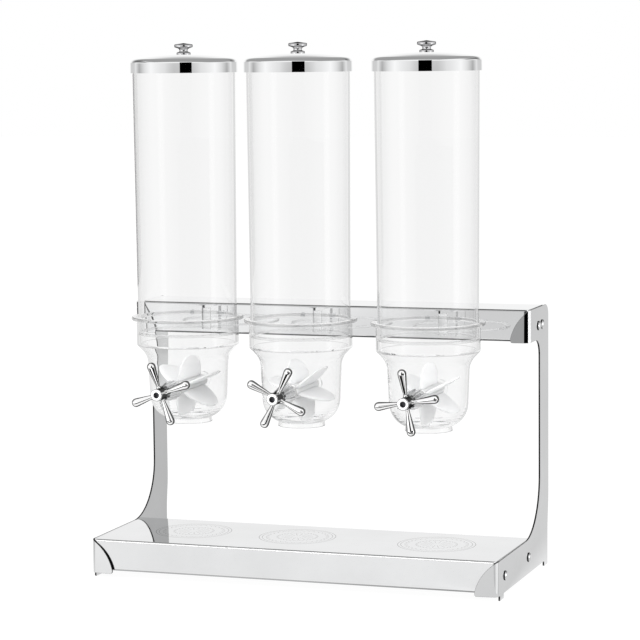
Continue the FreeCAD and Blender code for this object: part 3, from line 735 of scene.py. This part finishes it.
def make_materials(finishes):
    """Build every finish once."""
    polish = polish_group()
    ring_group()
    materials.update({
        "steel": sheet_steel("polished steel", finishes.steel, polish),
        "tray": sheet_steel("etched tray steel", finishes.steel, polish, ROSETTES),
        "lid": metal("drawn chrome", finishes.lid, polish, 0.015, 0.02, 0.02),
        "chrome": metal("bright chrome", finishes.chrome, polish, 0.015, 0.02, 0.02, 0.03),
        "knob": metal("turned knobs", finishes.knob, polish, 0.015, 0.02, 0.02, 0.0),
        "silver": metal("silver plating", finishes.silver, polish, 0.19, 0.06, 0.1),
        "zinc": metal("zinc fasteners", (0.6, 0.61, 0.62), polish, 0.22, 0.1, 0.2),
        "socket": metal("dark socket screws", (0.1, 0.1, 0.11), polish, 0.3, 0.1, 0.2),
        "tube": clear_plastic("clear tube", finishes.clear, 1.3),
        "hopper": clear_plastic("clear hopper", finishes.hopper, 1.32, rims=True),
        "silicone": silicone("frosted silicone", finishes.silicone),
        "bush": moulded("white bush", (0.8, 0.8, 0.79), 0.35),
        "seal": moulded("soft seal", (0.95, 0.95, 0.95), 0.1, 1.0),
    })


# Pieces

class DISPENSER_OT_stand(bpy.types.Operator):
    """Side plates, tray and crossbeam of bent sheet"""

    bl_idname = "dispenser.stand"
    bl_label = "Stand"
    bl_options = {"REGISTER", "UNDO"}

    def execute(self, context):
        for side in ("left", "right"):
            piece("plate_" + side, side_plate(side), "stand", "polished_steel", "steel", "side_plate_" + side)
        # The numbers give the painted shade on the lower and upper front fold and the painted highlight on it
        piece("tray", pan("base_tray", 0.45, 0.5, 0.9), "stand", "polished_steel", "tray", "base_tray")
        piece("beam", pan("crossbeam", 0.85, 0.85, 0.0), "stand", "polished_steel", "steel", "crossbeam")
        for side in SIDES:
            give("hopper_bracket_" + side, "steel")
        return {"FINISHED"}


class DISPENSER_OT_fasteners(bpy.types.Operator):
    """Dome-head screws on both side plates, and the inner fasteners"""

    bl_idname = "dispenser.fasteners"
    bl_label = "Fasteners"
    bl_options = {"REGISTER", "UNDO"}

    def execute(self, context):
        for name in ("base_nuts", "beam_nuts", "bracket_screws"):
            give(name, "zinc")
        tree = rows_tree()
        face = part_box("side_plate_right")[1].x
        for name in ("base_screws", "beam_screws"):
            low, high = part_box(name)
            radius = (high.z - low.z) / 2
            screw = self.screw(radius, high.x - face)
            first = Vector((face, low.y + radius, (low.z + high.z) / 2))
            mesh = grown(screw, tree, Count=2, First=first, Pitch=high.y - low.y - 2 * radius,
                         Material=materials["steel"])
            piece("screws_" + name.split("_")[0], mesh, "stand", "fastener_steel", "steel", name)
        return {"FINISHED"}

    @staticmethod
    def screw(radius, proud):
        """Dome-head screw along +X with its seat at the origin and painted dark shade on its flank."""
        shank, length, brim = 2.5 * MM, 9.0 * MM, 1.1 * MM
        outline = rounded((
            (0, -length, 0), (shank, -length, 0), (shank, 0, 0), (radius, 0, 0), (radius, brim, 0.2 * MM),
            (0.7 * radius, 0.9 * proud, 2.0 * MM), (0, proud, 0)), 4)
        screw = turned_shape("screw", outline, Vector(), "Z", 32)
        # Painted dark shade on the screw's flank
        painted_flank_shade = screw.attributes.new("cut", "FLOAT", "FACE")
        for face in screw.polygons:
            painted_flank_shade.data[face.index].value = 1.0 if face.normal.z < 0.3 else 0.0
        screw.transform(Matrix.Rotation(math.radians(90), 4, "Y"))
        return screw


class DISPENSER_OT_tubes(bpy.types.Operator):
    """Clear canister tubes with a slight draft"""

    bl_idname = "dispenser.tubes"
    bl_label = "Canister tubes"
    bl_options = {"REGISTER", "UNDO"}

    def execute(self, context):
        sizes = context.scene.dispenser_sizes
        for side in SIDES:
            name = "canister_tube_" + side
            low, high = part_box(name)
            top = (high.x - low.x) / 2
            foot = top - sizes.tube_draft
            outline = rounded((
                (foot, low.z, 0.7 * MM), (top, high.z, 0.9 * MM),
                (top - sizes.tube_wall, high.z, 0.9 * MM), (foot - sizes.tube_wall, low.z, 0.7 * MM)), 4)
            mesh = turned_shape("tube", outline, upright_axis(name), "Z", 2 * sizes.round_steps)
            unmirrored(piece("tube_" + side, mesh, "tube_" + side, "clear_tube", "tube", name))
            give("tube_seal_" + side, "seal")
        return {"FINISHED"}


class DISPENSER_OT_hoppers(bpy.types.Operator):
    """Clear hoppers: neck, bell bowl, collar, flange ring, bosses and rail"""

    bl_idname = "dispenser.hoppers"
    bl_label = "Hoppers"
    bl_options = {"REGISTER", "UNDO"}

    def execute(self, context):
        sizes = context.scene.dispenser_sizes
        for side in SIDES:
            name = "hopper_" + side
            foot = canister_foot(side)
            shell = self.shell(foot, sizes)
            centre = Vector((foot.x, foot.y, axle_front(side).z))
            bosses = [turned_mm("boss", corners, centre, "Y", 48) for corners in (FRONT_BOSS, REAR_BOSS)]
            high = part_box(name)[1]
            web = box_mesh("web", (foot.x - WEB_HALF, foot.y + RING_BACK - 1.4 * MM, foot.z + RAIL_LOW),
                           (foot.x + WEB_HALF, high.y - 2.4 * MM, high.z), 0.3 * MM)
            rail = box_mesh("rail", (foot.x - RAIL_HALF, high.y - 2.5 * MM, foot.z + RAIL_LOW),
                            (foot.x + RAIL_HALF, high.y, high.z), 0.4 * MM)
            mesh = joined("hopper", [shell, *bosses, web, rail])
            unmirrored(piece("hopper_shell_" + side, mesh, name, "clear_hopper", "hopper", name))
            give("front_bush_" + side, "bush")
            give("rear_bush_" + side, "bush")
        return {"FINISHED"}

    @staticmethod
    def shell(foot, sizes):
        """Round shell with rims marked for painted grey shade, and with its ring flattened where the bracket
        stands.
        """
        wall = sizes.wall / MM
        inside = (
            (COLLAR, STEP + wall, 1.5), (BOWL_TOP[0] - wall, BOWL_TOP[1] + wall / 2, 26.2),
            (BOWL_FOOT[0] - wall, BOWL_FOOT[1] + wall / 2, 27.3), (NECK[0] - wall, NECK[1] + wall, 0.5),
            (NECK[0] - wall, 0.0, 0.5))
        shell = turned_mm("shell", HOPPER + inside, foot, "Z", sizes.round_steps, 8)
        # Faces of the step, flange ring and neck are marked for painted grey shade
        rim = shell.attributes.new("rim", "FLOAT", "FACE")
        for face in shell.polygons:
            reach = math.hypot(face.center.x - foot.x, face.center.y - foot.y) / MM
            height = (face.center.z - foot.z) / MM
            step = reach > 61.0 and STEP - 1.0 < height < STEP + 1.2
            ring = reach > 68.7 and height > 127.0
            neck = height < 0.6 and reach > 28.0
            rim.data[face.index].value = 1.0 if step or ring or neck else 0.0
        for vert in shell.vertices:
            vert.co.y = min(vert.co.y, foot.y + RING_BACK)
        return shell


class DISPENSER_OT_paddles(bpy.types.Operator):
    """Paddle wheels: leaf-shaped blades round a hub"""

    bl_idname = "dispenser.paddles"
    bl_label = "Paddle wheels"
    bl_options = {"REGISTER", "UNDO"}

    def execute(self, context):
        sizes = context.scene.dispenser_sizes
        tree = copies_tree()
        end = (sizes.blade_half + 0.8 * MM) / MM
        corners = ((4.0, -end, 0), (9.0, -end, 2.0), (9.0, end, 2.0), (4.0, end, 0))
        for side in SIDES:
            foot = canister_foot(side)
            centre = Vector((foot.x, foot.y, axle_front(side).z))
            blades = grown(self.blade(sizes), tree, Count=sizes.blades, Centre=centre,
                           First_angle=math.radians(BLADE_ANGLES[side]), Material=materials["silicone"])
            hub = turned_mm("hub", corners, centre, "Y", 48)
            piece("paddle_" + side, joined("paddle", [blades, hub]), "rotor_" + side, "white_paddle",
                  "silicone", "paddle_wheel_" + side)
            give("axle_" + side, "zinc")
        return {"FINISHED"}

    @staticmethod
    def blade(sizes):
        """Leaf-shaped blade along +X: thick in the middle, with a soft rim and its root in the hub."""
        root, rings = 6.0 * MM, 8
        reach, half = sizes.blade_reach, sizes.blade_half
        edge = rounded(((root, -half, 0), (reach, -half, sizes.blade_corner),
                        (reach, half, sizes.blade_corner), (root, half, 0)), 14)
        heart = Vector((root, 0))
        bm = bmesh.new()
        skins = []
        for face in (1, -1):
            rows = []
            for ring in range(rings + 1):
                share = math.sin(math.pi / 2 * ring / rings)
                thick = sizes.blade_thick / 2 * (0.25 + 0.75 * math.sqrt(1 - share ** 6))
                spots = [heart + (point - heart) * share for point in edge]
                rows.append([bm.verts.new((spot.x, spot.y, face * thick)) for spot in spots])
            skins.append(rows)
        rims = [(skins[0][-1], skins[1][-1])]
        for inner, outer in [pair for rows in skins for pair in zip(rows, rows[1:])] + rims:
            for k in range(len(edge) - 1):
                bm.faces.new([inner[k], inner[k + 1], outer[k + 1], outer[k]])
        bmesh.ops.remove_doubles(bm, verts=bm.verts, dist=1e-6)
        bmesh.ops.holes_fill(bm, edges=[side for side in bm.edges if side.is_boundary])
        return mesh_from(bm, "blade")


class DISPENSER_OT_handles(bpy.types.Operator):
    """Cross handles, fluted sleeves and the screws in the hubs"""

    bl_idname = "dispenser.handles"
    bl_label = "Cross handles"
    bl_options = {"REGISTER", "UNDO"}

    def execute(self, context):
        sizes = context.scene.dispenser_sizes
        copies, flutes = copies_tree(), flutes_tree()
        for side in SIDES:
            front = axle_front(side)
            turn = math.radians(HANDLE_ANGLES[side])
            hub = turned_mm("hub", HANDLE_HUB, front, "Y", 64)
            arm = turned_mm("arm", ARM, Vector(), "Z", 40, 8)
            arm.transform(Matrix.Rotation(math.radians(90), 4, "Y"))
            arms = grown(arm, copies, Count=sizes.arms, First_angle=turn,
                         Centre=front + Vector((0, 15.0 * MM, 0)), Material=materials["chrome"])
            piece("handle_" + side, joined("handle", [hub, arms]), "rotor_" + side, "chrome_trim", "chrome",
                  "cross_handle_" + side)
            sleeve = grown(turned_mm("sleeve", SLEEVE, front, "Y", 160, 8), flutes, Count=sizes.flutes,
                           Depth=sizes.flute_depth, First_angle=turn, Centre=front,
                           Material=materials["silver"])
            piece("sleeve_" + side, sleeve, "rotor_" + side, "silver_sleeve", "silver",
                  "handle_sleeve_" + side)
            give("handle_screw_" + side, "socket")
        return {"FINISHED"}


class DISPENSER_OT_lids(bpy.types.Operator):
    """Lids with their turned knobs, gaskets and knob screws"""

    bl_idname = "dispenser.lids"
    bl_label = "Lids"
    bl_options = {"REGISTER", "UNDO"}

    def execute(self, context):
        sizes = context.scene.dispenser_sizes
        for side in SIDES:
            body = "lid_" + side
            axis = upright_axis("lid_cap_" + side)
            low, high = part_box("lid_cap_" + side)
            top = high.z + 1.8 * MM
            cap = self.cap(axis, (high.x - low.x) / 2, low.z, top, sizes)
            unmirrored(piece("cap_" + side, cap, body, "chrome_trim", "lid", "lid_cap_" + side))
            knob = self.knob(axis, top - 0.2 * MM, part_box("lid_knob_" + side)[1])
            unmirrored(piece("knob_" + side, knob, body, "chrome_trim", "knob", "lid_knob_" + side))
            gasket = self.gasket(axis, *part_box("lid_gasket_" + side))
            unmirrored(piece("gasket_" + side, gasket, body, "clear_seal", "seal", "lid_gasket_" + side))
            screw = self.screw(axis, *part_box("lid_screw_" + side))
            unmirrored(piece("lid_screw_" + side, screw, body, "fastener_steel", "zinc", "lid_screw_" + side))
        return {"FINISHED"}

    @staticmethod
    def crown(radius, shoulder, top):
        """Points of a lid's crown from its shoulder to the middle: a shallow dome with a rolled edge."""
        roll, run = 3.6 * MM, 6.5 * MM
        dome = top - shoulder - roll
        spots = [radius - run + run * math.cos(math.radians(10 * k)) for k in range(10)]
        spots += [(radius - run) * (1 - k / 12) for k in range(1, 13)]
        points = []
        for spot in spots:
            over = min(max(spot - (radius - run), 0.0) / run, 1.0)
            rise = dome * (1 - (spot / radius) ** 2) + roll * math.sqrt(1 - over ** 2)
            points.append((spot, shoulder + rise))
        return points

    @classmethod
    def cap(cls, axis, rim, low, top, sizes):
        """Drawn metal cap: an upright band under a crown."""
        skin, foot, shoulder = sizes.cap_skin, low - 0.8 * MM, low + 11.6 * MM
        outer = cls.crown(rim - 0.1 * MM, shoulder, top)
        inner = cls.crown(rim - skin, shoulder - skin, top - skin)
        outline = [(rim - skin, foot), (rim, foot), *outer, *reversed(inner)]
        return turned_shape("cap", outline, axis, "Z", sizes.round_steps)

    @staticmethod
    def knob(axis, base, high):
        """Turned knob: flange, stem and saucer up to a height."""
        wide = high.x - axis.x
        return turned_shape("knob", rounded((
            (0, base, 0), (8.6 * MM, base, 0.2 * MM), (8.6 * MM, base + 2.6 * MM, 1.0 * MM),
            (5.2 * MM, base + 3.8 * MM, 0.4 * MM), (4.6 * MM, base + 7.0 * MM, 3.0 * MM),
            (wide, high.z - 5.0 * MM, 1.2 * MM), (wide, high.z - 1.6 * MM, 1.2 * MM),
            (0, high.z, 0)), 6), axis, "Z", 64)

    @staticmethod
    def gasket(axis, low, high):
        """Flat soft ring inside the cap."""
        reach, soft = (high.x - low.x) / 2, 0.3 * MM
        bore = reach - 3.4 * MM
        return turned_shape("gasket", rounded((
            (bore, low.z, soft), (reach, low.z, soft), (reach, high.z, soft), (bore, high.z, soft)), 3),
            axis, "Z", 96)

    @staticmethod
    def screw(axis, low, high):
        """Screw that holds the knob from below."""
        reach, neck = (high.x - low.x) / 2, low.z + 2.0 * MM
        return turned_shape("bolt", rounded((
            (0, low.z, 0), (reach, low.z, 0.4 * MM), (reach, neck, 0), (0.5 * reach, neck, 0),
            (0.5 * reach, high.z, 0.3 * MM), (0, high.z, 0)), 3), axis, "Z", 32)


# Stage

CAMERA_PLACE = Vector((1.0221, -2.9615, 0.6478))
CAMERA_YAW = 0.3375
CAMERA_PITCH = 0.1073
CAMERA_ROLL = -0.0109
CAMERA_LENS = 143.5
CAMERA_SHIFT = (0.0260, 0.00745)
CAMERA_SENSOR = 36.0
WORLD_LIGHT = 0.8
FLOOR_VIEW = 1.06
FLOOR_GREY = (0.8, 0.8, 0.8, 1)
FLOOR_GLOW = 0.9
THROUGH = 0.94
MIRRORED_AGAIN = 0.75
NEAR_FLOOR, NEAR_LEVEL, NEAR_FADE = (-0.12, -0.5, 0), 0.91, (0.4, 0.5)
WALL_ORIGIN = (0.26, -0.12, 0)
HORIZON, OPEN_SIDE = 0.04, (0.4, 0.55)
LAMPS = (
    ("lamp_top", (0.3, -0.6, 2.4), 40.0, 2.2),
    ("lamp_left", (-2.2, -1.4, 1.4), 32.0, 1.4),
    ("lamp_right", (2.4, -0.8, 1.6), 24.0, 1.4),
)
# Grey of the studio's walls from behind the object (0) round to the camera's side (1)
SURROUND_TURN = ((0.0, 0.95), (0.03, 0.9), (0.05, 0.66), (0.17, 0.68), (0.22, 0.85), (0.34, 0.42),
                 (0.5, 0.8), (0.65, 1.05), (0.89, 0.78), (0.975, 0.5), (1.0, 0.5))
# The same above the horizon, from there (0) up to the ceiling (1), and how far a side screen dims it
SURROUND_RISE = ((0.0, 1.0), (0.1, 0.98), (0.21, 0.93), (0.3, 0.5), (0.41, 0.25), (0.55, 0.3), (0.75, 1.0))
SURROUND_SCREEN = ((0.0, 1.0), (0.05, 1.0), (0.085, 0.54), (0.16, 0.54), (0.22, 1.0), (1.0, 1.0))


def upright(foot_left, foot_right, low, high):
    """Corners of an upright card on a line over the floor."""
    return [(*foot_left, low), (*foot_right, low), (*foot_right, high), (*foot_left, high)]


def level(height, *spots):
    """Corners of a level card."""
    return [(*spot, height) for spot in spots]


def facing(turn, distance, half_width, low, high):
    """Corners of an upright card that faces the object, at an angle round it from the camera's side."""
    around = CAMERA_YAW + math.radians(turn)
    foot = Vector((math.sin(around), -math.cos(around))) * distance
    side = Vector((math.cos(around), math.sin(around))) * half_width
    return upright(foot - side, foot + side, low, high)


OVER_FLOOR = 1.0 * MM
# Cards that only mirrors show: name, corners, brightness and settings of stage_card
CARDS = (
    ("card_lens", facing(0.0, 1.3, 0.3, 0.0, 1.2), 0.0, {}),
    ("card_left", facing(-55.0, 2.2, 0.4, 0.0, 0.59), 2.6, {"soft": 0.7}),
    ("card_right", facing(64.0, 2.2, 0.4, 0.0, 0.59), 2.6, {"soft": 0.7}),
    ("card_low", upright((-0.05, -1.24), (0.85, -1.24), 0.1, 0.48), 0.0, {}),
    ("card_streak", level(OVER_FLOOR, (-0.8, -0.95), (0.4, -0.95), (0.4, -0.42), (-0.8, -0.42)), 0.0, {}),
    ("card_streak_right", level(OVER_FLOOR, (0.4, -0.95), (1.0, -0.95), (1.0, -0.3), (0.4, -0.3)), 0.0, {}),
    ("card_roof", level(0.72, (-0.27, -0.17), (0.27, -0.17), (0.27, 0.12), (-0.27, 0.12)), 0.36, {}),
    ("card_hub", upright((-0.62, -0.86), (0.1, -0.86), 0.07, 0.17), 1.6, {}),
    ("card_flap", upright((0.03, -0.96), (0.2, -0.96), 0.15, 0.26), 0.4, {}),
    ("card_side", upright((0.85, -1.24), (1.25, -0.35), 0.1, 0.48), 0.0, {}),
    ("card_beam", level(OVER_FLOOR, (-2.1, -3.6), (-0.75, -3.6), (-0.75, -2.3), (-2.1, -2.3)), 1.02,
     {"soft": 0.5, "past_glass": True}),
    ("card_edge", upright((-0.6, 0.06), (-0.254, 0.06), 0.345, 0.62), 0.0, {}),
    ("card_foot", level(OVER_FLOOR, (0.227, -0.113), (0.3, -0.113), (0.3, -0.4), (0.205, -0.4)), 0.75, {}),
    ("card_upright", level(OVER_FLOOR, (-0.32, 0.16), (0.06, 0.16), (0.72, 2.4), (0.5, 2.4)), 0.57, {}),
    ("card_rear", upright((-0.5, -0.111), (0.45, -0.111), 0.1, 0.34), 0.1, {"one_sided": True}),
)


def stage_material(name):
    """Material with an empty tree, and the tree."""
    material = bpy.data.materials.new(name)
    material.use_nodes = True
    material.node_tree.nodes.clear()
    return material, material.node_tree


def stage_piece(name, bm, material):
    """Object of a bmesh that belongs to the stage."""
    mesh = finished_mesh(bm, name)
    mesh.materials.append(material)
    thing = bpy.data.objects.new(name, mesh)
    bpy.context.scene.collection.objects.link(thing)
    return thing


def sight_masks(tree):
    """Masks of the rays that look and don't light, of mirrored views and of views through plastic."""
    rays = node(tree, "ShaderNodeLightPath").outputs
    through, mirror = rays["Is Transmission Ray"], rays["Is Glossy Ray"]
    seen = maths(tree, "MAXIMUM", maths(tree, "MAXIMUM", rays["Is Camera Ray"], mirror), through)
    mirrored = node(tree, "ShaderNodeMath", (mirror, through), operation="SUBTRACT", use_clamp=True)
    return seen, mirrored.outputs[0], through


def ramp(tree, value, stops):
    """Grey levels between (position, level) stops."""
    made = node(tree, "ShaderNodeValToRGB", (value,))
    band = made.color_ramp.elements
    while len(band) < len(stops):
        band.new(1.0)
    for element, (position, grey) in zip(band, stops):
        element.position = position
        element.color = (grey, grey, grey, 1)
    return made.outputs[0]


def surround_group():
    """Grey levels of the studio's walls by direction, for mirrors to show."""
    tree, given, end = new_tree("Studio surround", "ShaderNodeTree", (("Direction", "Vector"),),
                                (("Level", "Float"),))
    aim = vectors(tree, "NORMALIZE", vectors(tree, "MULTIPLY", given["Direction"], (1, 1, 0)))
    front = (math.sin(CAMERA_YAW), -math.cos(CAMERA_YAW), 0)
    share = mapped(tree, vectors(tree, "DOT_PRODUCT", aim, front), -1.0, 1.0, 0.0, 1.0)
    straight = vectors(tree, "NORMALIZE", given["Direction"])
    height = node(tree, "ShaderNodeSeparateXYZ", (straight,)).outputs[2]
    dimmed = maths(tree, "MULTIPLY", ramp(tree, height, SURROUND_RISE), ramp(tree, share, SURROUND_SCREEN))
    above = maths(tree, "MAXIMUM", dimmed, mapped(tree, share, *OPEN_SIDE, 0.0, 1.0))
    fade = mapped(tree, height, 0.0, HORIZON, 0.0, 1.0)
    tree.links.new(mixed(tree, fade, ramp(tree, share, SURROUND_TURN), above), end["Level"])
    return tree


def stage_card(name, corners, strength, soft=0.02, one_sided=False, past_glass=False):
    """Studio card with soft sides, which only a first mirroring shows, past clear plastic or not."""
    material, tree = stage_material(name)
    rays = node(tree, "ShaderNodeLightPath").outputs
    again = maths(tree, "GREATER_THAN", rays["Glossy Depth"], 1.5)
    glow = node(tree, "ShaderNodeEmission", ((1, 1, 1, 1), mixed(tree, again, strength, MIRRORED_AGAIN)))
    across = node(tree, "ShaderNodeSeparateXYZ", (node(tree, "ShaderNodeTexCoord").outputs["Generated"],))
    far = maths(tree, "ABSOLUTE", mapped(tree, across.outputs[0], 0.0, 1.0, -1.0, 1.0))
    hidden = mapped(tree, far, 1.0 - soft, 1.0, 0.0, 1.0)
    if not past_glass:
        passed = maths(tree, "GREATER_THAN", rays["Transmission Depth"], 0.5)
        hidden = maths(tree, "MAXIMUM", passed, hidden)
    if one_sided:
        behind = node(tree, "ShaderNodeNewGeometry").outputs["Backfacing"]
        hidden = maths(tree, "MAXIMUM", hidden, behind)
    clear = node(tree, "ShaderNodeBsdfTransparent")
    both = node(tree, "ShaderNodeMixShader", (hidden, glow.outputs[0], clear.outputs[0]))
    node(tree, "ShaderNodeOutputMaterial", (both.outputs[0],))
    bm = bmesh.new()
    bm.faces.new([bm.verts.new(corner) for corner in corners])
    card = stage_piece(name, bm, material)
    card.visible_camera = card.visible_diffuse = card.visible_shadow = False
    card.visible_transmission = card.visible_volume_scatter = False


class DISPENSER_OT_stage(bpy.types.Operator):
    """Floor, studio light, cards and camera"""

    bl_idname = "dispenser.stage"
    bl_label = "Stage"

    def execute(self, context):
        scene = context.scene
        surround = surround_group()
        self.floor(surround)
        self.world(scene, surround)
        self.lamps(scene)
        self.camera(scene)
        for name, corners, strength, settings in CARDS:
            stage_card(name, corners, strength, **settings)
        scene.view_settings.view_transform = "Standard"
        scene.cycles.max_bounces = 40
        scene.cycles.transmission_bounces = 40
        scene.cycles.glossy_bounces = 12
        return {"FINISHED"}

    @staticmethod
    def floor(surround):
        """Pale floor that keeps the object's shadow; mirrors see it grey, and paler near the object."""
        material, tree = stage_material("pale floor")
        seen, mirrored, through = sight_masks(tree)
        place = object_place(tree)
        far = vectors(tree, "LENGTH", vectors(tree, "SUBTRACT", place, NEAR_FLOOR))
        walls = node(tree, "ShaderNodeGroup", node_tree=surround)
        tree.links.new(vectors(tree, "SUBTRACT", place, WALL_ORIGIN), walls.inputs["Direction"])
        shown = mixed(tree, mapped(tree, far, *NEAR_FADE, 0.0, 1.0), NEAR_LEVEL, walls.outputs[0])
        plain_view = mapped(tree, through, 0.0, 1.0, FLOOR_VIEW, THROUGH + 0.03)
        matt = node(tree, "ShaderNodeBsdfDiffuse", (FLOOR_GREY,))
        glow = node(tree, "ShaderNodeEmission", ((1, 1, 1, 1), mixed(tree, mirrored, plain_view, shown)))
        both = node(tree, "ShaderNodeMixShader", (
            maths(tree, "MULTIPLY", seen, FLOOR_GLOW), matt.outputs[0], glow.outputs[0]))
        node(tree, "ShaderNodeOutputMaterial", (both.outputs[0],))
        bm = bmesh.new()
        bmesh.ops.create_grid(bm, x_segments=1, y_segments=1, size=15)
        stage_piece("floor", bm, material)

    @staticmethod
    def world(scene, surround):
        """White surround for the camera, pale for clear plastic, the studio's walls for mirrors."""
        scene.world = bpy.data.worlds.new("studio")
        scene.world.use_nodes = True
        tree = scene.world.node_tree
        back = tree.nodes["Background"]
        plain(back, Color=(1, 1, 1, 1))
        seen, mirrored, through = sight_masks(tree)
        walls = node(tree, "ShaderNodeGroup", node_tree=surround)
        tree.links.new(node(tree, "ShaderNodeTexCoord").outputs["Generated"], walls.inputs["Direction"])
        plain_view = mapped(tree, through, 0.0, 1.0, 1.0, THROUGH)
        open_level = mixed(tree, seen, WORLD_LIGHT, plain_view)
        tree.links.new(mixed(tree, mirrored, open_level, walls.outputs[0]), back.inputs["Strength"])

    @staticmethod
    def lamps(scene):
        """Soft area lamps above and to both sides."""
        for name, place, power, size in LAMPS:
            data = bpy.data.lights.new(name, "AREA")
            data.shape = "SQUARE"
            data.size = size
            data.energy = power
            lamp = bpy.data.objects.new(name, data)
            scene.collection.objects.link(lamp)
            lamp.location = place
            lamp.rotation_euler = (Vector((0, 0, 0.3)) - Vector(place)).to_track_quat("-Z", "Y").to_euler()
            lamp.visible_glossy = lamp.visible_transmission = False

    @staticmethod
    def camera(scene):
        """Camera at eye height, in front and to the right."""
        yaw, pitch = CAMERA_YAW, CAMERA_PITCH
        forward = Vector((-math.sin(yaw) * math.cos(pitch), math.cos(yaw) * math.cos(pitch),
                          -math.sin(pitch)))
        right = Vector((math.cos(yaw), math.sin(yaw), 0))
        up = right.cross(forward)
        tilt = Matrix.Rotation(-CAMERA_ROLL, 3, forward)
        right, up = tilt @ right, tilt @ up
        data = bpy.data.cameras.new("camera")
        data.lens = CAMERA_LENS
        data.sensor_width = CAMERA_SENSOR
        data.shift_x, data.shift_y = CAMERA_SHIFT
        data.clip_end = 50
        camera = bpy.data.objects.new("camera", data)
        scene.collection.objects.link(camera)
        turn = Matrix((right, up, -forward)).transposed().to_4x4()
        camera.matrix_world = Matrix.Translation(CAMERA_PLACE) @ turn
        scene.camera = camera


class DISPENSER_PT_panel(bpy.types.Panel):
    """Sidebar panel with the pieces, sizes and colours"""

    bl_label = "Food dispenser"
    bl_idname = "DISPENSER_PT_panel"
    bl_space_type = "VIEW_3D"
    bl_region_type = "UI"
    bl_category = "Dispenser"

    def draw(self, context):
        column = self.layout.column()
        for operator in OPERATORS:
            column.operator(operator.bl_idname)
        for group in (context.scene.dispenser_sizes, context.scene.dispenser_finishes):
            for key in group.__annotations__:
                column.prop(group, key)


OPERATORS = (
    DISPENSER_OT_stand,
    DISPENSER_OT_fasteners,
    DISPENSER_OT_tubes,
    DISPENSER_OT_hoppers,
    DISPENSER_OT_paddles,
    DISPENSER_OT_handles,
    DISPENSER_OT_lids,
    DISPENSER_OT_stage,
)
CLASSES = (DispenserSizes, DispenserFinishes, *OPERATORS, DISPENSER_PT_panel)


def register():
    """Register the classes and hang the property groups on the scene."""
    for item in CLASSES:
        bpy.utils.register_class(item)
    bpy.types.Scene.dispenser_sizes = PointerProperty(type=DispenserSizes)
    bpy.types.Scene.dispenser_finishes = PointerProperty(type=DispenserFinishes)


def unregister():
    """Undo register."""
    del bpy.types.Scene.dispenser_finishes
    del bpy.types.Scene.dispenser_sizes
    for item in reversed(CLASSES):
        bpy.utils.unregister_class(item)


def main():
    register()
    make_materials(bpy.context.scene.dispenser_finishes)
    for operator in OPERATORS:
        group, name = operator.bl_idname.split(".")
        getattr(getattr(bpy.ops, group), name)()


if __name__ == "__main__":
    main()
